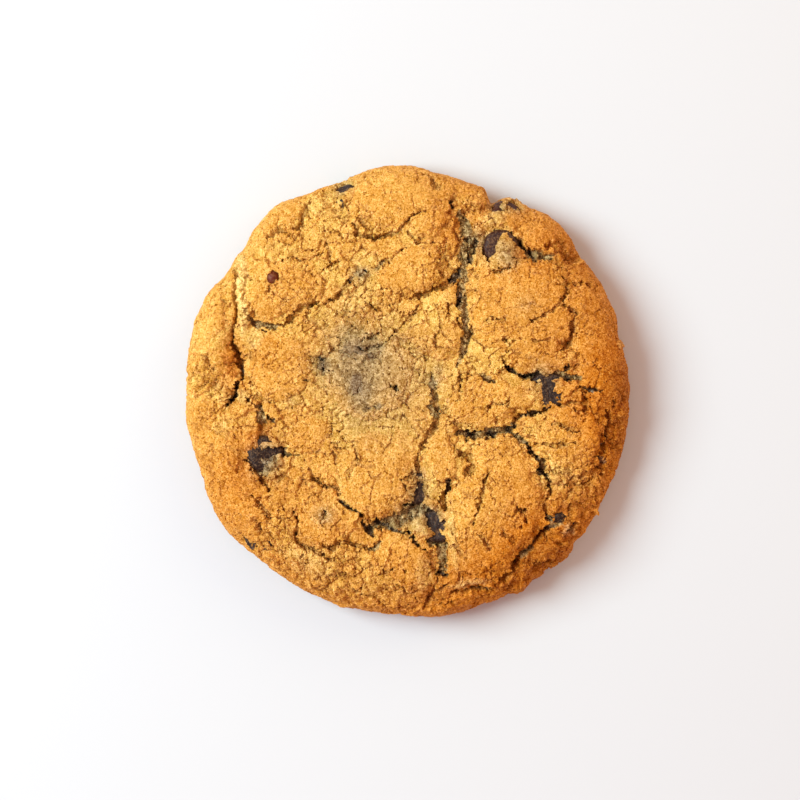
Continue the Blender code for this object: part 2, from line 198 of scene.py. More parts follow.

# Cracks: tone of the floor, depth, then points x, y and, where it isn't hairline, half width. A crust or chip
# floor has no tone of its own. Brown floors are partly browner dough and partly painted shade; black floors
# are partly melted chocolate and partly painted deep shade.
HAIRLINE = 0.13
CRACKS = (
    ("brown", 1.0, (-28.4, 30.2), (-27.5, 31, 0.3), (-26.5, 31.6, 0.3), (-25.3, 32.1, 0.3), (-24, 31.9)),
    ("brown", 1.2, (-23.2, 32.5), (-21.8, 33.2, 0.4), (-21.7, 34.6, 0.4), (-20.4, 37.5, 0.35),
     (-19.3, 38.8)),
    ("brown", 0.8, (-16.4, 34.5), (-16.3, 32.5), (-16, 30.5), (-15.9, 29.3, 0.3), (-16.4, 28.2),
     (-17.6, 27.2)),
    ("brown", 0.7, (-17.6, 27.2), (-19, 26.6), (-20, 26), (-22.5, 26.2), (-24, 26.5), (-26.8, 25.4)),
    ("brown", 1.0, (-15.9, 29.3), (-15.6, 27.2, 0.3), (-15.2, 26, 0.3), (-16, 24.8), (-17, 24.1)),
    ("brown", 0.5, (-19.6, 23.4), (-17.8, 23.2)),
    ("brown", 0.5, (-27.8, 21.5), (-27.6, 20.4), (-26.4, 19.8), (-24, 18.4)),
    ("brown", 2.5, (-35.2, 24.5), (-34.7, 23.5, 0.3), (-34.8, 21.2, 0.35), (-35, 18, 0.4),
     (-35.2, 14, 0.4)),
    ("brown", 2.7, (-35.2, 14, 0.4), (-35.5, 12.3, 0.45), (-34.8, 9.6, 0.55), (-33.9, 6.5, 0.7),
     (-33.2, 4.4, 0.5)),
    ("black", 2.6, (-33.2, 4.4, 0.5), (-33.2, 2.5), (-34.2, 0.8, 0.25), (-34.9, -1.1, 0.55), (-36.4, -3.4)),
    ("brown", 0.5, (-32.3, 24), (-32.6, 21), (-33, 18), (-32.6, 15.2)),
    ("khaki", 1.8, (-32.4, 15.2), (-31.6, 14.3, 0.5), (-30.2, 13.4, 0.7), (-28, 12.8, 0.6),
     (-26, 13.1, 0.4)),
    ("brown", 1.7, (-26, 13.1, 0.4), (-24.3, 13.9, 0.4), (-22.6, 15.1, 0.4), (-21.4, 16.7, 0.6), (-18, 18)),
    ("brown", 1.5, (-15.6, 18.2), (-14.4, 18.9, 0.3), (-13, 20.2, 0.4)),
    ("brown", 0.8, (-13, 20.2, 0.4), (-12, 21.4, 0.4), (-10.8, 22.9, 0.4)),
    ("khaki", 0.5, (-10.8, 22.9, 0.4), (-9, 24, 0.9), (-6.8, 24.3, 0.6), (-5.2, 25.4, 0.4)),
    ("brown", 0.8, (-5.2, 25.4, 0.4), (-2, 27.8, 0.25), (0, 29)),
    ("brown", 1.4, (-11.6, 33.8), (-10.8, 32.9, 0.3), (-10.3, 31.6, 0.4), (-8.6, 31.3, 0.3),
     (-6.4, 30.5, 0.35)),
    ("brown", 1.4, (-6.4, 30.5, 0.35), (-3.8, 31.6, 0.3), (-2, 32.2, 0.3), (0.2, 34), (1, 34.7),
     (3.6, 35.9, 0.1)),
    ("brown", 0.8, (0.1, 31.9), (0.9, 31.2), (1.3, 30.2, 0.25), (2.3, 29.8, 0.25), (5.5, 29.8)),
    ("brown", 0.4, (0, 26.2), (2.5, 26.3)),
    ("brown", 0.8, (3.2, 43.6), (4.5, 43.2, 0.4), (5.5, 42, 0.6), (6, 41, 0.5), (7, 41.5)),
    ("crust", 1.0, (7.6, 29.4, 1.0), (7.4, 27, 1.7), (7.6, 24.5, 1.8), (8.2, 22.6, 1.0)),
    ("crust", 1.1, (9.0, 39.0, 0.6), (10.2, 36.4, 1.8), (11.2, 33, 2.3), (11.6, 30, 2.2),
     (11.2, 27.5, 1.6)),
    ("khaki", 1.5, (10.4, 36.2, 0.4), (11.2, 33.4, 0.9), (12.0, 30.6, 1.0), (11.6, 27.5, 0.9)),
    ("khaki", 1.2, (11.6, 27.5, 1.0), (10.8, 24.5, 0.9), (10.6, 21, 0.8), (11, 17, 0.9), (11.5, 14, 0.9)),
    ("khaki", 1.1, (11.5, 14, 0.9), (11.8, 11, 0.8), (11, 8, 0.7), (10, 6, 0.5), (9.6, 4.8)),
    ("black", 2.0, (8.6, 39.2), (8.6, 38.3, 0.4), (8.8, 37.3)),
    ("black", 2.0, (9.8, 25), (9.8, 24, 0.35), (9, 22.6, 0.5), (8.3, 22)),
    ("black", 1.6, (10.6, 20.5), (10.3, 18.6, 0.25), (10.2, 17.4, 0.3)),
    ("brown", 1.3, (9.9, 15.5), (9.9, 14.5, 0.25), (10.4, 12.6)),
    ("brown", 1.5, (12.5, 13.2), (12.8, 11.7, 0.3), (12.1, 9.8, 0.25), (11.2, 7.6, 0.3), (10.5, 6.5)),
    ("black", 2.0, (12.1, 27.6), (12, 26.8, 0.4), (11.9, 25.6)),
    ("black", 1.8, (13.3, 31.2), (13.5, 30.2, 0.3), (13.4, 28.6, 0.3), (13.2, 27.8)),
    ("brown", 1.7, (1, 18.6, 0.5), (2, 19.2, 0.8), (3.8, 19.9, 0.6), (5.2, 20.3, 0.4),
     (7, 20.9, 0.4), (8.5, 22, 0.5)),
    ("brown", 1.0, (-7.8, 17.6), (-7, 16.8, 0.3), (-6.2, 16)),
    ("brown", 0.8, (-4.8, 16.9), (-2, 17.1)),
    ("chip", 2.2, (16.2, 26.4, 0.3), (15.7, 28.4, 0.6), (15.9, 30.4, 0.6), (17.1, 31.5, 0.5),
     (19.0, 31.8, 0.3)),
    ("black", 2.1, (20.2, 32.0, 0.3), (21.2, 31.2, 0.6), (22.1, 30.1, 0.7), (23.3, 28.8, 0.6),
     (24.9, 27.0, 0.3)),
    ("khaki", 1.8, (24, 27.4, 0.5), (26, 27.6, 1.0), (28, 27.3, 1.0), (28.9, 26.9, 0.8)),
    ("crust", 1.6, (27.6, 29.2, 0.5), (29, 29.6, 0.6), (30.5, 29.3, 1.1), (31.5, 28, 1.2),
     (34.4, 27.1, 0.8)),
    ("brown", 1.0, (16, 23), (17.2, 24.2), (18.2, 24, 0.25), (19.8, 24.6)),
    ("brown", 1.0, (24, 13.7, 0.12), (26, 14.5), (28.5, 16.3, 0.25), (30.4, 18.3, 0.25), (31.5, 19.5, 0.3)),
    ("brown", 1.0, (31.5, 19.5, 0.3), (31, 21.1, 0.3), (32, 21.5), (34.5, 21.6), (36.3, 21.3)),
    ("brown", 0.6, (31.1, 21.3), (31.3, 22.2), (30.3, 23.4)),
    ("brown", 0.5, (34.4, 21.4), (33.2, 19.1)),
    ("brown", 1.1, (30, 17.1), (31.4, 17), (32.3, 16.2, 0.3), (33.4, 15.6), (33.3, 14.6),
     (32.5, 13.4, 0.3)),
    ("brown", 1.5, (32.4, 13.2, 0.4), (32.5, 12.0, 0.35), (32.2, 10.9, 0.3), (31.4, 9.7, 0.5),
     (31.2, 8.9, 0.4)),
    ("brown", 0.5, (15.8, 14.1), (17, 14.7), (19.3, 14.3)),
    ("brown", 0.7, (18.8, 11.7), (19, 11), (20.5, 9.6)),
    ("brown", 0.6, (20.8, 10.2), (22.6, 10.8), (23.2, 9.2)),
    ("brown", 0.6, (24.6, 10.2), (26.2, 10.4), (28.6, 10.2)),
    ("brown", 0.9, (20.2, 8.2), (19.4, 7), (19.1, 6, 0.2), (19.6, 5.2)),
    ("black", 2.8, (19.5, 5.2, 0.3), (20.5, 4.3, 0.5), (22, 3.6, 0.5), (23.4, 3.4, 0.4)),
    ("khaki", 2.4, (23.0, 3.4, 0.5), (24.4, 3.2, 0.8), (25.0, 3.0, 0.6)),
    ("black", 3.0, (24.8, 3.6, 0.35), (25.6, 3.7, 0.4), (26.8, 2.9, 0.45), (28.2, 1.6, 0.5)),
    ("black", 3.2, (28.2, 1.6, 0.5), (28.7, 0.2, 0.55), (29.0, -1.2, 0.5), (29.6, -2.3, 0.3)),
    ("khaki", 1.5, (28.6, 2.9, 0.6), (30.3, 3.4, 0.8), (32, 2.7, 0.6), (33.8, 2.8, 0.5)),
    ("black", 1.8, (31.7, 2.9, 0.3), (32.1, 2.4, 0.5), (32.5, 2.2, 0.2)),
    ("black", 1.6, (31.3, 4.0), (31.7, 4.9, 0.4), (31.5, 5.9, 0.2)),
    ("brown", 1.3, (34.2, 1.8), (34.8, 0.4, 0.3), (35.0, -1, 0.4), (35.3, -3.7, 0.35)),
    ("black", 1.3, (35.2, 0.5, 0.3), (36.4, 0.4, 0.5), (37.4, 0.4, 0.4), (38.6, 0.1, 0.2)),
    ("brown", 1.2, (29.8, -2.4, 0.4), (31, -2.5, 0.35), (33, -1.9, 0.3), (34.6, -2.6)),
    ("brown", 0.5, (33, -3.3), (34, -4.2)),
    ("brown", 1.9, (28.3, -3, 0.4), (27.3, -3.7, 0.3), (26.5, -4.1, 0.3)),
    ("black", 2.3, (26.3, -4.0, 0.3), (25.2, -4, 0.4), (23.7, -4.2, 0.4), (22.8, -4.5, 0.3)),
    ("brown", 2.0, (22.8, -4.5, 0.4), (21.8, -5.4, 0.5), (21.4, -6.4, 0.3)),
    ("black", 2.2, (21.4, -6.4, 0.3), (20.6, -6.9, 0.4), (20.0, -7.5, 0.4)),
    ("khaki", 1.5, (20.4, -7.4, 0.5), (18, -7.9, 0.7), (15, -8.3, 0.8), (12.5, -8.5, 0.7),
     (9.6, -8.2, 0.4)),
    ("black", 1.9, (17.6, -8.5, 0.2), (16.9, -8.7, 0.35), (15.8, -8.5, 0.2)),
    ("black", 1.9, (13.2, -8.1, 0.2), (12.6, -8.3, 0.45), (12.0, -9.2, 0.3), (11.8, -10)),
    ("khaki", 1.7, (20.8, -8, 0.5), (21.8, -8.8, 0.5), (22.6, -9.9, 0.5), (24, -10.3, 0.4)),
    ("black", 2.4, (23.8, -10.6, 0.2), (24.6, -11.6, 0.4), (25.2, -12.7, 0.45), (25.9, -13.3, 0.3)),
    ("khaki", 2.0, (25.6, -13.2, 0.4), (26.5, -14.0, 0.5), (26.8, -14.9, 0.5)),
    ("black", 2.4, (26.3, -15.7, 0.4), (26.7, -16.2, 0.4), (27.6, -16.6, 0.35), (28.2, -17.3, 0.3)),
    ("brown", 1.7, (28.1, -17.3, 0.3), (27.9, -18.6, 0.4), (28.1, -20.4, 0.35), (27.6, -22, 0.2)),
    ("brown", 1.2, (27.4, -22.2, 0.3), (27.5, -23.5, 0.3), (28, -25.1, 0.3)),
    ("black", 1.9, (27.7, -25.2, 0.3), (28.2, -25.2, 0.35)),
    ("black", 1.1, (27.4, -27.0, 0.3), (28.1, -26.8, 0.4), (29.0, -26.4, 0.2)),
    ("khaki", 1.0, (28.2, -25.0, 0.5), (28.6, -26.4, 0.5), (30.4, -25.7, 0.5)),
    ("black", 1.0, (30.1, -25.7, 0.2), (30.4, -25.0, 0.4)),
    ("brown", 1.8, (28.0, -26.8, 0.3), (26.4, -28.6, 0.4), (25.6, -29.6, 0.4)),
    ("black", 2.2, (25.2, -30.0, 0.3), (24.6, -30.7, 0.5), (24.2, -31.3, 0.4)),
    ("khaki", 1.8, (24.8, -31.5, 0.5), (23.6, -32.8, 0.6)),
    ("brown", 2.0, (23.2, -32.4, 0.6), (21.8, -34.4, 0.8), (21.3, -36.2, 0.8), (19.6, -37.9, 0.6),
     (18.6, -38.4, 0.3)),
    ("brown", 1.2, (14.8, -28.6, 0.3), (15.6, -29.4, 0.3), (16.4, -31.0, 0.25)),
    ("brown", 1.0, (16.1, -16.2), (15.4, -17.4), (14.9, -18.4, 0.2), (14.6, -20, 0.25)),
    ("brown", 1.0, (14.6, -20, 0.25), (14.3, -21.8, 0.25), (13.7, -24), (13.1, -26.4)),
    ("brown", 1.0, (21.9, -22.4), (21.6, -23.3, 0.3), (20.8, -24.2)),
    ("brown", 1.0, (21.6, -23.3, 0.3), (23.0, -23.9, 0.35), (23.4, -25.0, 0.3), (23.8, -25.9)),
    ("brown", 0.7, (22.5, -26.4), (22.2, -28.1)),
    ("brown", 0.6, (18.3, -28.6), (19.4, -28.8), (20.4, -29.2), (21.3, -29.9, 0.2)),
    ("brown", 0.6, (18.4, -23.6), (19.4, -24.4), (20.6, -24.8)),
    ("brown", 0.9, (32.5, -19.7, 0.3), (33.1, -19.7, 0.3)),
    ("brown", 1.0, (32.4, -22.2), (32.6, -23.2, 0.3), (32.4, -24.4)),
    ("brown", 1.3, (32.6, -26.9, 0.3), (33.4, -26.4, 0.3), (34.2, -25.9)),
    ("brown", 1.2, (40.9, -1.7, 0.2), (41.7, -3.0, 0.3)),
    ("brown", 1.6, (40.2, -4, 0.3), (40.4, -6.2, 0.4), (40.8, -7.4, 0.6), (40.5, -8.6, 0.3)),
    ("black", 1.7, (40.7, -8.8, 0.3), (40.3, -9.8, 0.5), (39.9, -10.8, 0.3)),
    ("brown", 1.4, (39.9, -10.8, 0.4), (39.5, -12.6, 0.4)),
    ("black", 1.8, (39.0, -13.4, 0.4), (39.3, -14.0, 0.5)),
    ("brown", 1.6, (39.3, -14.0, 0.6), (39.5, -15.6, 0.5), (40.1, -17.0, 0.4)),
    ("crust", 1.0, (34.6, -16.2, 0.8), (36.4, -17.4, 1.4), (36.8, -19.4, 0.8)),
    ("brown", 0.9, (28.2, -6.2), (30.2, -6.6, 0.2), (30.8, -7.2, 0.2), (32.2, -7.8), (33.8, -7.6)),
    ("brown", 0.9, (25.8, -10.4), (27.6, -10.4, 0.2), (28.6, -10.9, 0.3), (29.8, -10.8, 0.2), (33.4, -9.8)),
    ("brown", 0.9, (16, -3.4), (17.3, -2.6, 0.2), (19, -2.7), (20.5, -1.6)),
    ("brown", 0.8, (18.2, -4.6), (17.8, -6.0, 0.2), (18.0, -7.0)),
    ("khaki", 0.9, (14.4, 3.6), (15.4, 2.8, 0.5), (17.2, 1.8, 0.3)),
    ("brown", 0.9, (-10, 9.3), (-9.3, 8.5), (-7.9, 8.7, 0.35), (-5.6, 9.4, 0.35), (-3.7, 10.6),
     (-2.3, 12.1, 0.3)),
    ("brown", 1.0, (-2.3, 12.1, 0.3), (-1.2, 13), (0.3, 14.5, 0.3), (1.1, 15.9, 0.5), (1.5, 17)),
    ("brown", 0.6, (-9, 10.4), (-8, 10.8), (-6.8, 10.8), (-5.8, 12.3)),
    ("khaki", 0.8, (4.6, 3.6), (4.8, 1.6, 0.8), (5.2, -1.5, 0.9), (5.4, -4, 0.8)),
    ("brown", 1.5, (5.2, -4), (5.5, -5.4, 0.5), (5.1, -6.6, 0.7), (4.4, -8, 0.6),
     (3.9, -9.4, 0.4), (2.6, -11.2, 0.4)),
    ("brown", 1.3, (2.6, -11.2, 0.4), (2, -12.5), (1.5, -13.5, 0.4), (1.9, -15, 0.4),
     (2.1, -16.5, 0.5), (2.2, -18, 0.5)),
    ("brown", 1.0, (10.2, 4.3), (10.5, 2.5, 0.35), (10.5, 1), (10.2, -0.3)),
    ("brown", 0.7, (10.4, -0.9), (9.5, -1.9)),
    ("brown", 0.7, (7.9, -2), (7.7, -3.3), (7.3, -4.2)),
    ("black", 0.8, (-3.4, 1.4), (-2.2, 0.7)),
    ("brown", 0.6, (-7.8, -3.5), (-6, -3), (-5.2, -2.6)),
    ("black", 1.0, (-18, 7.2), (-17.7, 6.7, 0.5), (-17.4, 6.2)),
    ("black", 0.6, (-17, 5), (-16.7, 3.8, 0.25), (-16.6, 3.2)),
    ("brown", 0.6, (-13.5, -8), (-12.6, -9.7)),
    ("brown", 0.6, (-11, -10), (-10.1, -13), (-9.8, -14.5), (-11.3, -17)),
    ("brown", 0.8, (-15.2, -11), (-14.9, -12.3, 0.35), (-14.6, -14), (-13.3, -17)),
    ("brown", 1.5, (10.4, -11.6, 0.2), (11.0, -12.6, 0.4), (12.4, -13.4, 0.45), (12.8, -14.4, 0.4)),
    ("brown", 1.6, (12.8, -14.4, 0.4), (12.4, -15.6, 0.5), (11.2, -17, 0.3)),
    ("black", 2.3, (8.2, -17.3, 0.3), (8.3, -18.4, 0.55), (7.9, -19.6, 0.4)),
    ("brown", 2.1, (7.9, -19.4, 0.4), (7.0, -20.8, 0.6), (7.0, -22.0, 0.6), (7.2, -23.2, 0.5)),
    ("black", 3.0, (1.8, -18.3, 0.2), (2.2, -19.4, 0.7), (2.5, -20.8, 0.8), (2.6, -22.0, 0.5)),
    ("black", 2.4, (-0.9, -23.0, 0.2), (0.0, -22.7, 0.35), (1.2, -22.6, 0.2)),
    ("black", 3.0, (4.3, -23.6, 0.3), (4.8, -24.6, 0.8), (5.2, -25.6, 1.0), (5.9, -26.5, 0.8),
     (6.9, -27.1, 0.3)),
    ("khaki", 1.9, (0, -24.3, 1.2), (2.4, -22.8, 1.1), (3.4, -23.6, 1.0)),
    ("khaki", 1.9, (0, -24.4, 1.3), (-2.5, -25.8, 1.2), (-5, -26.4, 1.0), (-7.0, -26.8, 0.9)),
    ("khaki", 1.7, (4.2, -29.6, 0.5), (5.4, -29.8, 0.8), (6.8, -31, 1.0), (6.8, -33, 0.9),
     (6.9, -35.6, 0.6)),
    ("black", 2.3, (-9.4, -25.4, 0.2), (-8.6, -26.4, 0.35), (-7.9, -27.4, 0.8), (-7.2, -28.3, 0.4)),
    ("black", 2.1, (-6.4, -25.7, 0.3), (-5.6, -26.5, 0.3), (-4.4, -26.8, 0.2), (-3.2, -27.5)),
    ("black", 1.4, (-2.6, -27.5), (-1, -27.7), (0.4, -28.2, 0.2)),
    ("black", 1.6, (0.6, -28.8), (1.0, -29.6, 0.3), (2.0, -30.6, 0.2), (3.6, -31.2)),
    ("black", 2.2, (5.9, -36.3, 0.3), (6.7, -36.5, 0.5), (7.5, -36.8, 0.3)),
    ("crust", 1.0, (4.9, -31.8, 0.5), (5.1, -34, 0.7), (4.8, -36, 0.4)),
    ("brown", 1.0, (-15.2, -18.9, 0.2), (-14.5, -19.2, 0.35), (-13.8, -19.7, 0.2)),
    ("brown", 0.8, (-1.2, -17.4), (-0.5, -18.3), (0.0, -19.3)),
    ("brown", 1.0, (-0.1, -16.9, 0.2), (1.0, -16.4, 0.3)),
    ("brown", 1.7, (7.8, -38.3, 0.2), (6.4, -39.6, 0.3), (5.2, -40.7, 0.5), (4.2, -42.2, 0.5),
     (3.2, -43.6, 0.3)),
    ("brown", 0.9, (6.4, -43.0), (8.6, -42.6)),
    ("black", 1.8, (-9.8, -24.5, 0.25), (-11.2, -23.7, 0.35), (-12.7, -22.7, 0.3), (-13.9, -21.9, 0.2)),
    ("brown", 1.5, (-13.8, -20.4), (-14.2, -19.5, 0.6), (-15.3, -19.2, 0.4), (-17.6, -18.1, 0.3),
     (-18.8, -17.6, 0.35)),
    ("brown", 1.0, (-18.8, -17.6, 0.35), (-19.4, -16.3), (-20, -14.8)),
    ("brown", 0.5, (-20, -21), (-18.5, -20.5), (-16.3, -20.8)),
    ("brown", 1.3, (-15.8, -31.4, 0.4), (-14.2, -30.4, 0.3), (-12, -30.0, 0.3), (-10, -30.2, 0.3),
     (-8.2, -31.2, 0.2)),
    ("khaki", 1.2, (-7.6, -31.4, 0.2), (-6.8, -31, 0.5), (-6, -29.8, 0.3)),
    ("brown", 1.1, (-5.4, -38.8), (-3.6, -38.6), (-2.0, -38.6, 0.2), (-1.0, -38.9, 0.3),
     (-0.2, -41.2, 0.3)),
    ("brown", 0.7, (-4.5, -35.7), (-3, -35.5), (-0.2, -35.4)),
    ("brown", 0.9, (-10.7, -39.8, 0.2), (-10.4, -41.4, 0.3)),
    ("black", 1.7, (17, -39.6, 0.2), (14.5, -40.1, 0.45), (12.6, -40.3, 0.3)),
    ("brown", 1.3, (12.6, -40.3, 0.3), (10, -40.5, 0.3), (8.4, -41.0, 0.2)),
    ("brown", 1.5, (25.4, -36.0, 0.4), (26.6, -35.5, 0.4), (28.4, -34.8, 0.35), (30.6, -33.8, 0.2)),
    ("khaki", 1.6, (-32.2, -1.3), (-31.2, -1.9), (-30.1, -2.8, 0.4), (-29.8, -4.2, 0.6),
     (-29.2, -5.8, 0.7)),
    ("crust", 1.2, (-29.2, -5.8, 0.7), (-28.6, -7.2, 1.1), (-28.2, -9, 1.2)),
    ("black", 1.2, (-27.9, -5.2), (-27.2, -5.6, 0.45), (-26.7, -6.2)),
    ("black", 2.2, (-25.8, -11, 0.4), (-25, -11.4, 0.6), (-24.8, -12.6, 0.4)),
    ("khaki", 1.4, (-24.6, -12.1, 0.4), (-23.4, -12.4, 0.4), (-21.6, -12.6)),
    ("khaki", 0.8, (-30.3, -14.5, 0.8), (-29.0, -15.6, 0.8), (-28.4, -16.8, 0.5)),
    ("brown", 1.7, (-33.4, -13.4), (-31.8, -13.9, 0.35), (-31.2, -15.2, 0.4), (-29.2, -18, 0.4),
     (-27.6, -19.9, 0.2)),
    ("brown", 1.3, (-31.3, -20.7), (-30.3, -21.6), (-29.5, -22.4, 0.5), (-28.9, -23.6, 0.6),
     (-28, -24.7, 0.5)),
    ("brown", 1.3, (-28, -24.7, 0.5), (-27.2, -25.3), (-24.9, -25.6), (-23.3, -24.8),
     (-22.9, -24, 0.4), (-23, -23.2)),
    ("brown", 1.6, (-22.7, -24.6), (-21.8, -25.3), (-22.2, -26.5), (-22.4, -28, 0.35), (-22.1, -29.4, 0.4)),
    ("brown", 1.6, (-22.1, -29.4, 0.4), (-21.4, -30.8, 0.5), (-20.4, -31.6, 0.5),
     (-19, -31.5, 0.3), (-16, -33.6)),
    ("brown", 0.5, (-30.7, -24.8), (-30.3, -26), (-29.7, -27.5)),
    ("brown", 0.5, (-22, -20.8), (-22, -22.7)),
    ("brown", 0.5, (-25.5, -21.7), (-25.2, -23.5)),
    ("crust", 0.7, (-40.5, 2.4), (-41.8, 1.2, 0.6), (-42.5, 0, 0.4), (-42.7, -1.5)),
    ("black", 0.7, (-20.7, 2.2), (-20.2, 2.0)),
    ("black", 0.7, (-19.6, 1.9), (-19.2, 2.0)),
    ("black", 0.6, (-21.7, -32.9, 0.2), (-21.4, -32.6)),
    ("brown", 0.5, (16.2, 2.8), (17.3, 1.9)),
    ("black", 0.4, (21.5, 17.3), (22.1, 17.0)),
    ("black", 0.4, (24.6, 17.1), (25.0, 16.7)),
    ("brown", 0.6, (34.0, 7.3), (33.3, 8.3), (32.2, 8.5), (31.2, 7.8), (31.0, 6.6)),
    ("brown", 0.5, (-38, 19), (-37, 18.3), (-36.3, 17.2)),
)

# Pits over the chips that show: centre x, y, half sizes along and across, turn in degrees, depth.
HOLLOWS = (
    (-27.9, -12.0, 2.2, 1.1, 12, 2.8),
    (-12.6, 41.7, 2.2, 1.3, 5, 2.8),
    (-27.0, 22.7, 1.3, 1.2, 0, 1.6),
    (31.7, -27.4, 0.6, 0.45, -60, 2.8),
    (-16.7, -24.3, 0.9, 0.3, 60, 1.6),
    (18.2, 37.4, 1.3, 0.5, -20, 2.6),
    (21.9, 38.0, 1.8, 0.6, -30, 2.2),
    (-31.1, -30.6, 0.5, 0.4, -40, 2.2),
    (-8.6, 24.2, 0.5, 0.25, 25, 2.2),
)

# Raised crumbs, blobs and ridges: centre x, y, half sizes along and across, turn in degrees, height and
# paleness. The paleness is partly pale raw crumb and partly painted light on walls facing the lamp.
LUMPS = (
    (19.8, 28.2, 3.0, 2.2, -38, 0.7, 0.0),
    (2.8, -27.6, 2.4, 1.5, -20, 1.4, 0.5),
    (-33.4, 24.0, 4.4, 1.5, 92, 0.6, 0.75),
    (-33.2, 16.0, 5.6, 1.5, 96, 0.6, 0.75),
    (-30.6, 10.6, 2.6, 1.7, 80, 0.4, 0.4),
    (-18.0, 37.2, 2.3, 2.0, 20, 1.1, 0.1),
    (42.6, 9.6, 0.8, 1.1, 0, 0.8, 0.3),
    (9.0, -29.0, 0.9, 8.0, 4, 0.2, 0.3),
    (11.4, 29.4, 1.2, 0.9, 0, 0.8, 0.5),
    (10.2, 31.6, 1.0, 1.3, 0, 0.6, 0.0),
    (16.8, 34.8, 2.6, 1.3, 0, 0.5, 0.35),
    (1.0, -24.4, 1.0, 0.8, 0, 0.9, 0.6),
    (-2.6, -25.8, 0.9, 0.7, 30, 0.7, 0.3),
    (2.9, -23.0, 0.8, 0.6, 0, 0.6, 0.2),
    (32.5, 7.0, 1.3, 1.2, 0, 0.5, 0.1),
    (-26.4, -14.0, 1.6, 1.0, 15, 0.9, 0.5),
    (-36.6, -0.6, 1.6, 2.2, 0, 0.5, 0.2),
    (-32.8, -1.2, 1.8, 1.8, 0, 0.5, 0.45),
    (12.4, -38.5, 4.6, 1.0, 6, 0.5, 0.4),
    (-11.0, 19.0, 6.0, 4.0, 30, 0.1, 0.3),
    (-20.0, -34.0, 6.0, 3.6, -25, 0.1, 0.3),
    (3.0, -36.0, 2.0, 4.0, 0, 0.1, 0.3),
    (29.0, -17.0, 3.6, 3.0, 0, 0.1, 0.25),
)

# Chocolate smeared in the crust: centre x, y, radius, strength.
STAINS = (
    (-4.0, -4.0, 10.0, 0.22),
    (2.0, 4.0, 8.0, 0.16),
    (-8.0, 6.0, 8.5, 0.60),
    (-9.4, -0.5, 3.2, 0.35),
    (-6.5, 9.4, 2.6, 0.3),
    (-11.5, 12.0, 3.0, 0.3),
    (-14.0, 4.0, 5.0, 0.32),
    (-10.0, -5.0, 4.0, 0.2),
    (-17.4, 5.4, 1.8, 0.7),
    (-14.0, 11.0, 4.5, 0.15),
    (-16.7, -24.6, 2.0, 0.6),
    (-9.2, 23.7, 1.8, 0.9),
    (2.2, -20.0, 1.9, 0.9),
    (4.8, -25.0, 2.4, 0.9),
    (0.0, -24.6, 3.0, 0.6),
    (2.0, -16.6, 1.6, 0.6),
    (26.6, 2.6, 2.8, 0.7),
    (-28.0, -12.2, 2.6, 0.9),
    (-29.6, -15.0, 1.8, 0.5),
    (-23.0, -2.0, 1.4, 0.3),
    (23.5, 17.2, 2.4, 0.25),
    (19.4, 25.6, 2.0, 0.4),
    (20.2, 28.2, 2.4, 0.5),
    (-28.0, -14.6, 3.0, 0.35),
    (16.0, 29.6, 2.6, 0.6),
    (18.0, 37.6, 1.6, 0.8),
    (21.6, 38.0, 2.0, 0.5),
    (-13.0, 41.4, 2.0, 0.8),
    (12.8, 31.0, 1.8, 0.6),
    (31.7, -27.3, 1.0, 0.8),
    (-10.3, 2.4, 0.9, 0.6),
    (-10.4, 0.4, 0.8, 0.5),
    (-9.6, 8.7, 1.0, 0.5),
    (-7.6, 7.2, 0.8, 0.4),
    (-5.8, -3.0, 0.7, 0.5),
    (-8.2, -3.4, 0.7, 0.4),
    (-12.0, 8.5, 1.4, 0.3),
    (5.0, 2.2, 1.6, 0.45),
    (6.4, 4.6, 1.3, 0.35),
)

# Plates of whole crust, smoother than the broken dough between: centre x, y, half sizes, turn in degrees.
PLATES = (
    (-2.0, 38.5, 8.6, 7.0, 0),
    (3.8, 32.8, 4.6, 2.6, 10),
    (0.6, 24.4, 6.4, 4.6, 20),
    (22.5, 16.5, 11.0, 9.6, 15),
    (38.5, 8.0, 5.0, 16.0, 8),
    (26.5, 32.6, 8.4, 4.4, -38),
    (36.5, 23.5, 5.0, 5.0, 0),
    (-25.8, 5.2, 6.2, 7.4, 10),
    (-25.2, 19.8, 7.0, 5.0, 25),
    (-27.4, 35.0, 7.2, 4.0, 42),
    (-41.0, 17.0, 4.0, 8.0, 10),
    (-42.0, -6.0, 3.4, 7.0, 0),
    (-38.5, -16.0, 4.6, 9.0, 18),
    (17.8, -21.5, 8.8, 13.5, -12),
    (33.0, -9.0, 5.6, 6.6, 4),
    (27.6, -31.6, 2.4, 3.0, -38),
    (-6.0, -16.6, 7.6, 8.6, 5),
    (-0.8, -33.8, 4.6, 5.4, 0),
    (-19.0, -26.0, 6.0, 4.4, -25),
    (-34.0, -24.0, 4.4, 8.0, 38),
    (14.0, -1.6, 6.6, 5.0, 10),
    (6.4, -13.0, 3.4, 4.8, 10),
    (-19.5, -9.0, 5.0, 4.0, 20),
    (-7.5, 3.0, 9.0, 9.0, 0),
    (1.0, 42.0, 14.0, 3.6, -4),
    (14.0, -42.0, 12.0, 2.4, 16),
    (26.0, 6.0, 7.0, 3.0, 0),
)
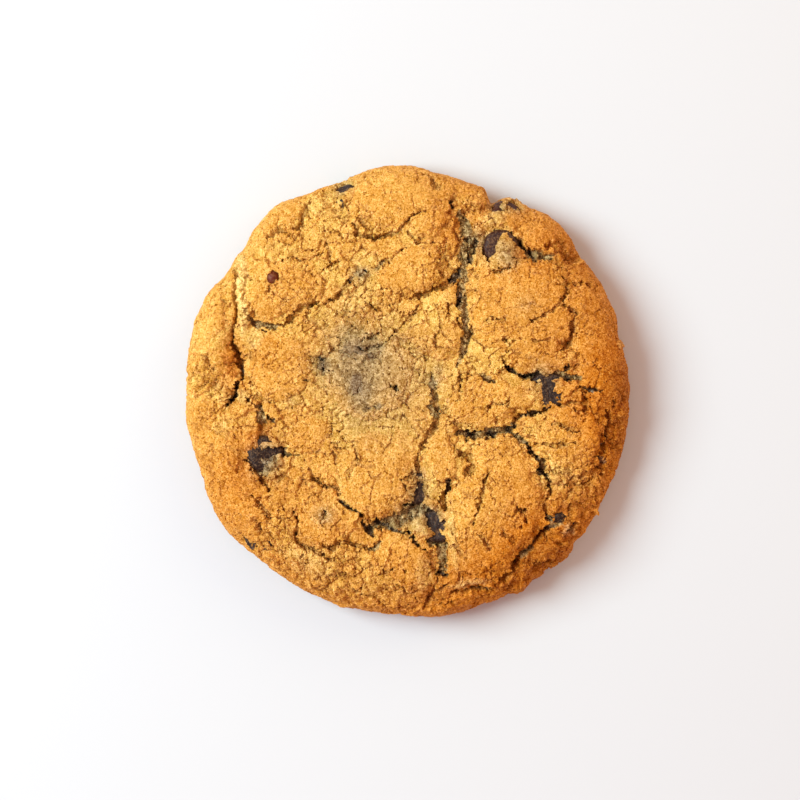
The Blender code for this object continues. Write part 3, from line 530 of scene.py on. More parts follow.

# Where the crust is more toasted or, below 0, less, besides the rim: centre x, y, radius, amount. The
# spots are partly real browning and partly painted shade in troughs and away from the lamp, and the ones
# below 0 are partly painted light.
TOAST_AND_SHADE_SPOTS = (
    (40.0, -2.0, 12.0, 0.30),
    (30.0, 22.0, 12.0, 0.10),
    (22.0, 35.0, 7.0, -0.15),
    (9.4, 33.0, 5.0, 0.60),
    (27.0, 28.0, 7.0, 0.35),
    (26.0, -31.0, 7.0, 0.50),
    (31.0, -14.0, 6.0, -0.35),
    (20.0, -36.0, 8.0, 0.25),
    (2.0, -41.0, 12.0, 0.10),
    (-34.0, -20.0, 9.0, 0.30),
    (-34.0, 4.0, 5.0, 0.25),
    (-2.0, 38.0, 8.0, -0.30),
    (-44.0, 5.0, 7.0, -0.55),
    (-35.4, 5.0, 3.0, 0.35),
    (-31.0, -13.0, 6.0, 0.25),
    (-27.0, -27.0, 7.0, -0.20),
    (44.0, 2.0, 7.0, 0.45),
    (42.0, -10.0, 5.0, 0.40),
    (31.0, -17.0, 5.0, -0.30),
    (29.0, 23.0, 5.0, -0.20),
    (-29.0, -9.0, 4.0, 0.45),
    (-35.2, 9.0, 3.0, 0.50),
    (-29.0, 23.0, 4.0, 0.15),
    (10.0, 22.0, 3.0, 0.50),
    (-10.0, -29.0, 4.0, 0.35),
    (-36.0, 22.0, 6.0, -0.40),
    (-8.0, 24.0, 8.0, -0.40),
    (13.0, -24.0, 7.0, -0.40),
    (3.0, -35.0, 5.0, -0.35),
    (11.0, -5.0, 7.0, -0.40),
    (-10.0, -36.0, 9.0, -0.35),
    (-14.0, 40.0, 6.0, -0.40),
    (28.0, -10.0, 6.0, -0.35),
)

# Where the crust is broken into small lumps: centre x, y, radius, strength.
CRUMBLY = (
    (-13.0, -37.5, 8.0, 1.0),
    (-30.0, -30.0, 7.0, 0.7),
    (0.0, -42.0, 5.0, 0.7),
    (-38.0, -12.0, 6.0, 0.4),
    (-12.0, 37.0, 4.5, 0.5),
    (-18.0, 2.0, 6.0, 0.2),
    (-10.0, 26.0, 6.0, 0.2),
    (33.0, -24.0, 6.0, 0.9),
    (39.0, -18.0, 6.0, 0.9),
    (28.0, -35.0, 6.0, 0.8),
    (42.0, -5.0, 5.0, 0.7),
    (20.0, -40.0, 5.0, 0.6),
    (-40.0, 5.0, 6.0, 0.9),
    (-22.0, -12.0, 7.0, 0.25),
    (-27.0, -14.0, 5.0, 0.5),
    (11.0, 34.0, 5.0, 0.6),
    (-24.0, 30.0, 5.0, 0.4),
)

# Chips: base centre x, y, z, the way from base to tip as degrees round and degrees up, radius, height.
CHIPS = {
    "chip_upper_right": ((18.6, 28.9, 12.1), (0, -90), 3.6, 5.4),
    "chip_right": ((28.0, 0.4, 11.4), (0, -90), 4.0, 6.2),
    "chip_lower_inner": ((2.2, -19.4, 11.4), (100, -80), 3.5, 6.0),
    "chip_lower_outer": ((5.9, -26.6, 11.3), (-60, -80), 3.5, 6.0),
    "chip_left": ((-28.3, -12.4, 11.2), (180, -80), 3.8, 6.0),
    "chip_top_rim": ((-12.6, 40.0, 9.0), (-72, -35), 3.2, 5.6),
    "chip_upper_left": ((-27.0, 22.7, 7.5), (0, 90), 3.6, 5.8),
    "chip_lower_right_rim": ((31.0, -26.7, 10.6), (140, -60), 3.0, 5.2),
    "chip_lower_left": ((-16.3, -25.0, 11.6), (90, -88), 3.7, 6.0),
    "chip_top_right_rim": ((20.2, 36.4, 9.2), (-118, -42), 3.2, 5.4),
    "chip_lower_left_rim": ((-30.2, -29.5, 9.7), (44, -55), 3.2, 5.2),
    "chip_upper_valley": ((-9.3, 23.4, 11.3), (0, -90), 3.2, 5.4),
}
# The half section of a chip from tip to base, as shares of its radius and height.
CHIP_SECTION = (
    (0.0, 1.0),
    (0.16, 0.99),
    (0.3, 0.92),
    (0.44, 0.82),
    (0.64, 0.68),
    (0.82, 0.53),
    (0.95, 0.37),
    (1.0, 0.24),
    (0.99, 0.12),
    (0.93, 0.04),
    (0.8, 0.0),
    (0.4, 0.0),
    (0.0, 0.0),
)
CHIP_ROWS = 26
CHIP_STEPS = 44
CHIP_MIDDLE = 0.4
CHIP_DENTS = 0.16
CHIP_FINE_DENTS = 0.08
# Chips with a redder skin, and how much.
WARM_CHIPS = {"chip_upper_left": 1.0, "chip_upper_right": 0.15, "chip_top_right_rim": 0.3}

# Display colours from 0 to 255. A pair runs from shaded or dark grains to light ones.
CRUST_TONES = ((205, 132, 42), (228, 160, 68))
CRUMB_TONES = ((212, 150, 54), (234, 180, 88))
TOAST_AND_SHADE_TONES = ((182, 94, 6), (206, 118, 18))
DEEP_TOAST_AND_SHADE_TONE = (146, 68, 2)
EDGE_HIGHLIGHT_TONE = (230, 182, 92)
PALE_AND_LIT_TONE = (234, 196, 118)
CREASE_SHADE_TONE = (146, 80, 10)
BROWN_AND_SHADE_TONE = (130, 68, 6)
KHAKI_TONES = ((112, 79, 38), (190, 150, 88))
SEAM_AND_SHADE_TONE = (120, 58, 0)
STAIN_TONES = ((118, 93, 60), (182, 149, 98))
DEEP_STAIN_TONE = (94, 70, 54)
CHOCOLATE_AND_SHADE_TONES = ((44, 22, 14), (128, 108, 84))
FOOT_TONES = ((120, 66, 26), (190, 116, 52))
CHOCOLATE_TONES = ((34, 14, 9), (74, 45, 36))
BLOOM_TONE = (120, 92, 74)
WARM_CHOCOLATE_TONE = (98, 34, 16)
CHIP_DUST_TONE = (170, 130, 84)

# The table: half its width and how far it lies below the cookie, in metres, and its colour.
TABLE_HALF = 3.0
TABLE_DROP = 0.00005
TABLE_COLOUR = (0.63, 0.613, 0.639, 1.0)

# The view, in metres: how wide it is at the height of the crust, that height, and how far off the middle.
VIEW_WIDTH = 0.160
VIEW_HEIGHT = 0.010
VIEW_SHIFT = -0.0016

# Mixing constants of the whole-number scatter.
LATTICE_WEIGHTS = (374761393, 668265263, 2246822519)
SEED_WEIGHT = 3266489917
WORD = 2**32


def smooth(low, high, value):
    """0 below low, 1 above high and an even curve between."""
    share = np.clip((value - low) / (high - low), 0.0, 1.0)
    return share * share * (3.0 - 2.0 * share)


def lattice_key(corner):
    """One whole number for each corner of a cube lattice."""
    key = np.zeros(len(corner), np.uint32)
    for axis, weight in enumerate(LATTICE_WEIGHTS):
        key += corner[:, axis].astype(np.uint32) * np.uint32(weight)
    return key


def step_key(ahead):
    """What a step along the lattice adds to its key."""
    return np.uint32(sum(move * weight for move, weight in zip(ahead, LATTICE_WEIGHTS)) % WORD)


def scatter(key, seed):
    """An even random number from 0 to 1 for each whole number."""
    mixed = key + np.uint32(seed * SEED_WEIGHT % WORD)
    mixed = (mixed ^ (mixed >> np.uint32(15))) * np.uint32(LATTICE_WEIGHTS[2])
    mixed = (mixed ^ (mixed >> np.uint32(13))) * np.uint32(SEED_WEIGHT)
    mixed ^= mixed >> np.uint32(16)
    return mixed.astype(np.float32) / np.float32(WORD)


def waves(place, size, seed):
    """Soft noise from -1 to 1 with bumps about size millimetres apart."""
    scaled = place / size + seed * 7.31
    corner = np.floor(scaled).astype(np.int64)
    part = (scaled - corner).astype(np.float32)
    part = part * part * part * (part * (part * 6.0 - 15.0) + 10.0)
    key = lattice_key(corner)
    total = np.zeros(len(place), np.float32)
    for step in range(8):
        ahead = (step & 1, (step >> 1) & 1, (step >> 2) & 1)
        weight = np.ones(len(place), np.float32)
        for axis in range(3):
            weight = weight * (part[:, axis] if ahead[axis] else 1.0 - part[:, axis])
        total += weight * scatter(key + step_key(ahead), seed)
    return total * 2.0 - 1.0


def layered(place, size, seed, layers):
    """Soft noise with finer layers on top, from about -1 to 1."""
    total = np.zeros(len(place), np.float32)
    weight = 1.0
    for layer in range(layers):
        total += weight * waves(place, size, seed + layer * 17)
        size *= 0.5
        weight *= 0.5
    return total * 0.62


def cells(place, size, seed):
    """Grains: how near each place is to the nearest middle and the next, its grain's number and middle."""
    scaled = place / size
    corner = np.floor(scaled).astype(np.int64)
    part = (scaled - corner).astype(np.float32)
    key = lattice_key(corner)
    nearest = np.full(len(place), 9.0, np.float32)
    second = nearest.copy()
    own_key = key.copy()
    middle = np.zeros_like(part)
    for step in range(27):
        ahead = (step % 3 - 1, (step // 3) % 3 - 1, step // 9 - 1)
        spot_key = key + step_key(ahead)
        spot = [ahead[axis] + scatter(spot_key, seed + axis) for axis in range(3)]
        away = sum((spot[axis] - part[:, axis]) ** 2 for axis in range(3))
        closer = away < nearest
        second = np.where(closer, nearest, np.minimum(second, away))
        nearest = np.where(closer, away, nearest)
        own_key = np.where(closer, spot_key, own_key)
        for axis in range(3):
            middle[:, axis] = np.where(closer, spot[axis], middle[:, axis])
    own_number = scatter(own_key, seed + 5)
    return np.sqrt(nearest) * size, np.sqrt(second) * size, own_number, (corner + middle) * size


def bell_sum(x, y, spots):
    """The sum of soft round bumps: centre x, y, radius, height."""
    total = np.zeros_like(x)
    for middle_x, middle_y, radius, height in spots:
        total += height * np.exp(-((x - middle_x) ** 2 + (y - middle_y) ** 2) / radius**2)
    return total


def oval(x, y, middle_x, middle_y, half_long, half_short, turn):
    """The distance from an oval's centre, 1 on its edge."""
    turn = math.radians(turn)
    long = (x - middle_x) * math.cos(turn) + (y - middle_y) * math.sin(turn)
    short = (y - middle_y) * math.cos(turn) - (x - middle_x) * math.sin(turn)
    return np.hypot(long / half_long, short / half_short)


def outline_scale(angle):
    """The outline radius at an angle in radians, as a share of the rim radius."""
    radius = np.full_like(angle, RIM_RADIUS)
    for middle, half_width, height in OUTLINE_LUMPS:
        turn = (np.degrees(angle) - middle + 180.0) % 360.0 - 180.0
        radius += height * np.exp(-((turn / half_width) ** 2))
    return radius / RIM_RADIUS


def upper_section():
    """The half section from the middle of the top down the outer side to the edge of the foot."""
    share = np.linspace(0.0, 1.0, DOME_STEPS)[:-1]
    rise = (CROWN_HEIGHT - SHOULDER_HEIGHT) * np.cos(share * math.pi / 2) ** 2
    dome = np.column_stack([share * SHOULDER_RADIUS, SHOULDER_HEIGHT + rise])
    turn = np.linspace(0.0, math.pi / 2, SIDE_STEPS)[:-1]
    roll = RIM_RADIUS - SHOULDER_RADIUS
    fall = SHOULDER_HEIGHT - RIM_HEIGHT
    shoulder = np.column_stack([SHOULDER_RADIUS + roll * np.sin(turn), RIM_HEIGHT + fall * np.cos(turn)])
    turn = np.linspace(0.0, math.pi / 2, TUCK_STEPS)
    tuck = RIM_RADIUS - FOOT_RADIUS
    foot = np.column_stack([FOOT_RADIUS + tuck * np.cos(turn), RIM_HEIGHT - RIM_HEIGHT * np.sin(turn)])
    return np.vstack([dome, shoulder, foot])


def length_along(points):
    """How far along a chain of points each one lies."""
    steps = np.hypot(*np.diff(points, axis=0).T)
    return np.concatenate([[0.0], np.cumsum(steps)])


def disc_grid():
    """A square grid pressed into a disc of radius 1: the radius and the angle of each corner."""
    side = np.linspace(-1.0, 1.0, SHEET_CELLS + 1)
    wide, high = np.meshgrid(side, side)
    wide = wide.ravel()
    high = high.ravel()
    flat = np.abs(wide) >= np.abs(high)
    longer = np.where(flat, wide, high)
    shorter = np.where(flat, high, wide)
    eighth = math.pi / 4 * shorter / np.where(longer == 0.0, 1.0, longer)
    angle = np.where(flat, eighth, math.pi / 2 - eighth)
    angle = np.where(longer < 0.0, angle + math.pi, angle)
    return np.abs(longer), angle


def body_sheet():
    """The smooth top and side as a fine grid: the place of each corner and the way that it faces."""
    section = upper_section()
    length = length_along(section)
    along = np.gradient(section, axis=0)
    along /= np.linalg.norm(along, axis=1)[:, None]
    share, angle = disc_grid()
    run = share * length[-1]
    radius = np.interp(run, length, section[:, 0])
    height = np.interp(run, length, section[:, 1])
    out = -np.interp(run, length, along[:, 1])
    up = np.interp(run, length, along[:, 0])
    near_rim = smooth(0.5, 1.0, radius / RIM_RADIUS)
    radius = radius * (1.0 + (outline_scale(angle) - 1.0) * near_rim)
    place = np.column_stack([radius * np.cos(angle), radius * np.sin(angle), height])
    facing = np.column_stack([out * np.cos(angle), out * np.sin(angle), up])
    return place, facing


def grid_squares(side):
    """The squares of a grid that is so many squares wide and high, row by row, each by its four corners."""
    up = side + 1
    row = np.arange(side)
    first = (row[:, None] * up + row[None, :]).ravel()
    return np.column_stack([first, first + 1, first + 1 + up, first + up])


def sheet_edge():
    """The numbers of the sheet's outer corners, once round."""
    last = SHEET_CELLS
    up = SHEET_CELLS + 1
    bottom = list(range(last))
    right = [row * up + last for row in range(last)]
    top = [last * up + column for column in range(last, 0, -1)]
    left = [row * up for row in range(last, 0, -1)]
    return np.array(bottom + right + top + left)


def steps_inside(kept, most):
    """How many grid steps each corner lies inside the kept ones, up to a limit."""
    rows = SHEET_CELLS + 1
    shrinking = kept.reshape(rows, rows).copy()
    total = shrinking.astype(np.int64)
    for _ in range(most - 1):
        inner = shrinking.copy()
        inner[1:] &= shrinking[:-1]
        inner[:-1] &= shrinking[1:]
        inner[:, 1:] &= shrinking[:, :-1]
        inner[:, :-1] &= shrinking[:, 1:]
        shrinking = inner
        total += shrinking
    return total.ravel()


def route_distance(x, y, corners, swing):
    """The distance from a crack's middle line and its half width there, which swing widens and narrows."""
    away = np.full(len(x), 9.0)
    half = np.full(len(x), HAIRLINE)
    for start, end in zip(corners, corners[1:]):
        run_x = end[0] - start[0]
        run_y = end[1] - start[1]
        share = ((x - start[0]) * run_x + (y - start[1]) * run_y) / (run_x**2 + run_y**2)
        share = np.clip(share, 0.0, 1.0)
        gap = np.hypot(x - start[0] - share * run_x, y - start[1] - share * run_y)
        width = (start[2] + (end[2] - start[2]) * share) * swing
        closer = gap - width < away - half
        away = np.where(closer, gap, away)
        half = np.where(closer, width, half)
    return away, half


def within(x, y, corners, reach):
    """The numbers of the places near a chain of corners."""
    low_x = min(corner[0] for corner in corners) - reach
    high_x = max(corner[0] for corner in corners) + reach
    low_y = min(corner[1] for corner in corners) - reach
    high_y = max(corner[1] for corner in corners) + reach
    return np.flatnonzero((x > low_x) & (x < high_x) & (y > low_y) & (y < high_y))


def crack_fields(x, y, soft_x, soft_y, swing):
    """Depth of the cracks, the soft valleys round the wide ones, and where floors have their own tone."""
    depth = np.zeros_like(x)
    valley = np.zeros_like(x)
    floors = {"khaki": np.zeros_like(x), "black": np.zeros_like(x), "brown": np.zeros_like(x)}
    for floor_tone, deep, *points in CRACKS:
        corners = [point if len(point) == 3 else (*point, HAIRLINE) for point in points]
        widest = max(corner[2] for corner in corners)
        reach = 1.6 * widest + (2.2 * VALLEY_REACH if widest > NARROW else 0.8)
        near = within(x, y, corners, reach)
        away, half = route_distance(x[near], y[near], corners, swing[near])
        inside = 1.0 - smooth(half - 0.04, half + 0.14, away)
        depth[near] = np.maximum(depth[near], deep * inside)
        if floor_tone in floors:
            floor = 1.0 - smooth(half, half + 0.25, away)
            floors[floor_tone][near] = np.maximum(floors[floor_tone][near], floor)
        if widest > NARROW:
            away, half = route_distance(soft_x[near], soft_y[near], corners, 1.0)
            dip = np.exp(-((np.maximum(away - half, 0.0) / VALLEY_REACH) ** 2)) * smooth(0.15, 0.6, half)
            valley[near] = np.maximum(valley[near], VALLEY_SHARE * min(deep, VALLEY_MOST) * dip)
    return depth, valley, floors


def swerve(place, seed):
    """How far cracks and edges stray along one axis."""
    return SWERVE * waves(place, 2.6, seed) + FINE_SWERVE * waves(place, 1.1, seed + 1)


def opening_fields(place, torn_x, torn_y, soft_x, soft_y):
    """Depth of the cracks and pits, the valleys of the cracks, and where floors have a tone of their own."""
    swing = 1.0 + CRACK_SWING * waves(place, 1.5, 7)
    depth, valley, floors = crack_fields(torn_x, torn_y, soft_x, soft_y, swing)
    for *shape, deep in HOLLOWS:
        depth = np.maximum(depth, deep * (1.0 - smooth(0.8, 1.1, oval(torn_x, torn_y, *shape))))
    return depth * (CRACK_EVEN + CRACK_UNEVEN * waves(place, 1.3, 90)), valley, floors


def plate_fields(place, facing, torn_x, torn_y, crumbly):
    """How whole the crust is, and how near the middle of a plate each place lies."""
    whole = np.zeros(len(place))
    plateau = np.zeros(len(place))
    wander_x = torn_x + waves(place, 5.0, 11)
    wander_y = torn_y + waves(place, 5.0, 12)
    for shape in PLATES:
        away = oval(wander_x, wander_y, *shape)
        whole = np.maximum(whole, 1.0 - smooth(0.88, 1.12, away))
        plateau = np.maximum(plateau, 1.0 - smooth(0.6, 1.15, away))
    whole = np.maximum(whole, smooth(0.75, 0.4, facing[:, 2]))
    return whole * (1.0 - 0.6 * crumbly), plateau


def hair_cracks(place, flake_gap, chunk_gap, crumbly):
    """Fine cracks between flakes and, weaker, between broken lumps."""
    hair = 1.0 - smooth(0.04, 0.26, flake_gap)
    hair = hair * smooth(-0.15, 0.25, waves(place, 3.0, 31))
    split = 1.0 - smooth(0.03, 0.20, chunk_gap)
    split = split * smooth(0.15, 0.45, waves(place, 3.4, 33) + 0.35 * crumbly)
    return np.maximum(hair, 0.8 * split)


def flake_slopes(flake_place, flake_number, flake_middle):
    """The height that each flake's own random slope gives."""
    slopes = np.zeros(len(flake_place))
    whole_number = (flake_number * 65535.0).astype(np.uint32)
    for axis in range(2):
        lean = scatter(whole_number, 60 + axis) - 0.5
        slopes += lean * (flake_place[:, axis] - flake_middle[:, axis])
    return slopes


def lump_fields(torn_x, torn_y):
    """Height and paleness of the raised crumbs, blobs and ridges; the paleness is partly painted light."""
    raised = np.zeros_like(torn_x)
    pale = np.zeros_like(torn_x)
    for *shape, height, paleness in LUMPS:
        bump = 1.0 - smooth(0.45, 1.15, oval(torn_x, torn_y, *shape))
        raised += height * bump
        pale = np.maximum(pale, paleness * bump)
    return raised, pale


def toast_and_shade_amount(x, y):
    """How toasted the crust is, with painted shade: more towards the rim, most at the lower right, and at
    spots.
    """
    radius = np.hypot(x, y)
    shaded_side_weight = EVEN_SIDE_SHARE + SHADED_SIDE_LEAN * (x - y) / np.maximum(radius, 1.0)
    return np.clip(RIM_TOAST * smooth(14.0, 46.0, radius) * shaded_side_weight + bell_sum(x, y, TOAST_AND_SHADE_SPOTS), 0.0, MOST_TOAST)


def dough_fields(place, facing):
    """Heights of the crust and of the crumb over the smooth body, where crust lies, and the colour masks."""
    x = place[:, 0]
    y = place[:, 1]
    grain_near, _, grain_number, grain_middle = cells(place, GRAIN, 50)
    chunk_place = place + CHUNK_RAGGED * (grain_middle - place)
    chunk_near, chunk_next, chunk_number, _ = cells(chunk_place, CHUNK, 40)
    soft_x = x + swerve(place, 1)
    soft_y = y + swerve(place, 3)
    torn_x = soft_x + RAGGED * (grain_middle[:, 0] - x)
    torn_y = soft_y + RAGGED * (grain_middle[:, 1] - y)
    flake_place = np.column_stack([torn_x, torn_y, place[:, 2]])
    flake_near, flake_next, flake_number, flake_middle = cells(flake_place, FLAKE, 30)

    depth, valley, floors = opening_fields(place, torn_x, torn_y, soft_x, soft_y)
    opened = smooth(0.2, 0.7, depth)
    crumbly = np.clip(bell_sum(x, y, CRUMBLY) + 0.25 * waves(place, 6.0, 8), 0.0, 1.0)
    whole, plateau = plate_fields(place, facing, torn_x, torn_y, crumbly)
    cover = (whole > 0.5) & (depth < CUT_DEPTH)
    inland = steps_inside(cover, 8)
    hidden = smooth(4.0, 7.0, inland)

    swell = bell_sum(x, y, SWELLS) + BROAD_WAVES * layered(place, 7.0, 60, 2) - SINK - valley
    swell = swell + PLATE_RISE * (plateau - 0.45) + KNOBS * (0.2 + crumbly) * layered(place, 3.0, 140, 2)
    raised, pale = lump_fields(torn_x, torn_y)
    hair = hair_cracks(place, flake_next - flake_near, chunk_next - chunk_near, crumbly)
    slopes = flake_slopes(flake_place, flake_number, flake_middle)
    grain = 0.5 - grain_near / GRAIN
    chunk = 0.5 - chunk_near / CHUNK
    pits = smooth(0.80, 0.88, grain_number) * (1.0 - smooth(0.08, 0.30, grain_near))

    crust = swell + raised + CRUST_LIFT + CRUST_WAVES * waves(place, 2.1, 70)
    crust = crust + CRUST_FLAKES * (flake_number - 0.5) + CRUST_TILT * slopes
    crust = crust + CRUST_GRAINS * grain + CRUST_GRAIN_STEPS * (grain_number - 0.5)
    crust = crust - CRUST_HAIR * hair - CRUST_PITS * pits
    crust = crust - CRUST_EDGE * np.exp(-0.8 * (inland - 1.0))
    torn_rim = (0.25 + 0.75 * crumbly) * smooth(32.0, 42.0, np.hypot(x, y))
    crust = crust + torn_rim * (RIM_CHUNKS * chunk + RIM_CHUNK_STEPS * (chunk_number - 0.5))

    lumpy = np.clip(0.25 + 0.75 * crumbly + 0.35 * opened, 0.0, 1.0)
    crumb = swell + raised + CRUMB_LIFT + (CRUMB_FLAKES + 0.5 * crumbly) * (flake_number - 0.5)
    crumb = crumb + CRUMB_TILT * slopes
    crumb = crumb + lumpy * (chunk + CRUMB_CHUNK_STEPS * (chunk_number - 0.5)) - CRUMB_HAIR * hair
    crumb = crumb + (0.20 + 0.20 * opened) * grain + (0.10 + 0.16 * opened) * (grain_number - 0.5) - depth
    crumb = crumb * (1.0 - hidden) + (swell - CRUST_BED) * hidden

    shared = {
        # Paleness: partly raw crumb, partly painted light on walls facing the lamp.
        "pale": pale,
        "stain": np.clip(bell_sum(torn_x, torn_y, STAINS), 0.0, 1.2),
        "toast_and_shade": toast_and_shade_amount(x, y),
        "tint": grain_number,
    }
    torn = np.maximum(opened, crumbly)
    return {
        "crust": crust,
        "crumb": crumb,
        "bed": swell - CRUST_THICKNESS,
        "cover": cover,
        "rim": np.hypot(flake_middle[:, 0], flake_middle[:, 1]) > RIM_CRUST_RADIUS,
        "crust masks": {
            **shared,
            # Hairline cracks and pits darkened: partly browner dough, partly painted shade.
            "seams_and_shade": np.clip(0.6 * hair + pits, 0.0, 1.0),
            # Painted highlight along the edges of crust plates.
            "edge": np.exp(-0.5 * (inland - 1.0)),
        },
        "crumb masks": {
            **shared,
            # Hairline cracks darkened: partly browner dough, partly painted shade.
            "seams_and_shade": np.clip(0.7 * hair, 0.0, 1.0),
            "broken": 1.0 - 0.7 * smooth(0.4, 0.6, flake_number) * (1.0 - opened),
            **{name: floor * opened for name, floor in floors.items()},
            # Painted shade in the creases between broken lumps.
            "crease_shade": np.clip(0.25 - 2.0 * chunk, 0.0, 1.0) * lumpy,
            "loose": (1.0 - hidden) * (0.3 + 0.7 * torn) * smooth(1.0, 3.0, place[:, 2]),
        },
    }


def mesh_from(name, corners, faces, masks):
    """A mesh in metres from corners in millimetres, square faces and a number per corner for each mask."""
    mesh = bpy.data.meshes.new(name)
    mesh.vertices.add(len(corners))
    mesh.vertices.foreach_set("co", (np.asarray(corners) * MM).astype(np.float32).ravel())
    count = len(faces)
    mesh.loops.add(count * 4)
    mesh.loops.foreach_set("vertex_index", faces.astype(np.int32).ravel())
    mesh.polygons.add(count)
    mesh.polygons.foreach_set("loop_start", np.arange(0, count * 4, 4, dtype=np.int32))
    mesh.update(calc_edges=True)
    for mask_name, values in masks.items():
        layer = mesh.attributes.new(mask_name, "FLOAT", "POINT")
        layer.data.foreach_set("value", np.asarray(values, dtype=np.float32))
    return mesh


def add_object(name, data):
    """A new object in the scene."""
    item = bpy.data.objects.new(name, data)
    bpy.context.scene.collection.objects.link(item)
    return item


def settle(item):
    """The object with its modifiers turned into a plain mesh."""
    bpy.context.view_layer.update()
    graph = bpy.context.evaluated_depsgraph_get()
    mesh = bpy.data.meshes.new_from_object(item.evaluated_get(graph))
    mesh.name = item.name
    item.modifiers.clear()
    item.data = mesh


def thin_out(item):
    """The object with fewer triangles where its surface is plain, and crisp broken edges."""
    fewer = item.modifiers.new("fewer", "DECIMATE")
    triangles = len(item.data.loops) - 2 * len(item.data.polygons)
    fewer.ratio = min(1.0, PIECE_TRIANGLES / triangles)
    settle(item)
    item.data.shade_smooth()
    item.data.set_sharp_from_angle(angle=math.radians(SHARP_DEGREES))
    return item


def lift(place, facing, push):
    """The sheet pushed out along its own way, never below the table."""
    corners = place + facing * push[:, None]
    corners[:, 2] = np.maximum(corners[:, 2], 0.0)
    return corners


def join_corners(kept):
    """Drops one of two kept squares that meet at a corner only, so that the shell stays a proper solid."""
    kept = kept.copy()
    changed = True
    while changed:
        low_left = kept[:-1, :-1]
        low_right = kept[:-1, 1:]
        high_left = kept[1:, :-1]
        high_right = kept[1:, 1:]
        rising = low_left & high_right & ~low_right & ~high_left
        falling = low_right & high_left & ~low_left & ~high_right
        changed = bool(rising.any() or falling.any())
        kept[:-1, :-1] &= ~rising
        kept[:-1, 1:] &= ~falling
    return kept


def build_crust(name, corners, bed, kept, masks):
    """A closed shell of crust over the kept squares of the sheet."""
    faces = grid_squares(SHEET_CELLS)
    top = faces[kept.ravel()]
    padded = np.zeros((SHEET_CELLS + 2, SHEET_CELLS + 2), bool)
    padded[1:-1, 1:-1] = kept
    beyond = (padded[:-2, 1:-1], padded[1:-1, 2:], padded[2:, 1:-1], padded[1:-1, :-2])
    starts = []
    ends = []
    for side, neighbour in enumerate(beyond):
        open_side = (kept & ~neighbour).ravel()
        starts.append(faces[open_side][:, side])
        ends.append(faces[open_side][:, (side + 1) % 4])
    starts = np.concatenate(starts)
    ends = np.concatenate(ends)
    count = len(corners)
    walls = np.column_stack([ends, starts, starts + count, ends + count])
    under = (top + count)[:, ::-1]
    every = np.vstack([top, under, walls])
    used, numbers = np.unique(every.ravel(), return_inverse=True)
    both = np.vstack([corners, bed])[used]
    doubled = {key: np.concatenate([values, values])[used] for key, values in masks.items()}
    mesh = mesh_from(name, both, numbers.reshape(-1, 4), doubled)
    return thin_out(add_object(name, mesh))


def build_crumb(corners, masks):
    """The torn body under the crust as one closed solid down to the foot."""
    edge = sheet_edge()
    ring = edge
    below = [corners]
    squares = [grid_squares(SHEET_CELLS)]
    count = len(corners)
    for step in range(1, FOOT_RINGS + 1):
        size = max(1.0 - step / FOOT_RINGS, 0.002)
        inner = corners[edge] * (size, size, 0.0)
        dents = FOOT_DENTS * smooth(0.1, 0.9, waves(inner, 2.3, 95))
        inner[:, 2] = dents * smooth(0.0, 0.05, 1.0 - size)
        below.append(inner)
        new_ring = np.arange(count, count + len(edge))
        squares.append(np.column_stack([ring, np.roll(ring, -1), np.roll(new_ring, -1), new_ring])[:, ::-1])
        ring = new_ring
        count += len(edge)
    below.append(np.array([[0.0, 0.0, 0.0]]))
    closing = np.column_stack([ring, np.roll(ring, -1), np.full(len(ring), count)])[:, ::-1]
    every = np.vstack(below)
    under = len(every) - len(corners)
    masks = {name: np.concatenate([values, np.zeros(under)]) for name, values in masks.items()}
    masks["foot"] = np.concatenate([smooth(0.9, 0.2, corners[:, 2]), np.ones(under)])
    mesh = mesh_from("crumb_looks", every, np.vstack(squares), masks)
    close_foot(mesh, closing)
    return thin_out(add_object("crumb_looks", mesh))


def close_foot(mesh, closing):
    """Fills the last small ring of the foot with triangles."""
    work = bmesh.new()
    work.from_mesh(mesh)
    work.verts.ensure_lookup_table()
    for corner in closing:
        work.faces.new([work.verts[index] for index in corner])
    work.to_mesh(mesh)
    work.free()


def build_dough(finish):
    """The torn crumb, the crust plates, the crust round the rim and the loose crumbs."""
    place, facing = body_sheet()
    fields = dough_fields(place, facing)
    calm = smooth(-0.98, -0.45, facing[:, 2])
    crust_corners = lift(place, facing, fields["crust"] * calm)
    bed_corners = lift(place, facing, fields["bed"])
    crumb_corners = lift(place, facing, fields["crumb"] * calm)
    rows = SHEET_CELLS + 1
    cover = fields["cover"].reshape(rows, rows)
    covered = cover[:-1, :-1] & cover[1:, :-1] & cover[:-1, 1:] & cover[1:, 1:]
    round_rim = fields["rim"].reshape(rows, rows)[:-1, :-1]
    masks = fields["crust masks"]
    top = join_corners(covered & ~round_rim)
    rim = join_corners(covered & round_rim)
    seen = np.where(fields["cover"][:, None], crust_corners, crumb_corners)
    return [
        build_crumb(crumb_corners, fields["crumb masks"]),
        build_crust("crust_plates_looks", crust_corners, bed_corners, top, masks),
        build_crust("crust_rim_looks", crust_corners, bed_corners, rim, masks),
        build_crumbs(seen, fields["crumb masks"], finish),
    ]


def new_tree(name, inputs, outputs, kind):
    """A node group with its inputs as name, kind and value, and its outputs as name and kind."""
    tree = bpy.data.node_groups.new(name, kind)
    for label, socket_kind, value in inputs:
        socket = tree.interface.new_socket(label, in_out="INPUT", socket_type=socket_kind)
        if value is not None:
            socket.default_value = value
    for label, socket_kind in outputs:
        tree.interface.new_socket(label, in_out="OUTPUT", socket_type=socket_kind)
    return tree, tree.nodes.new("NodeGroupInput"), tree.nodes.new("NodeGroupOutput")


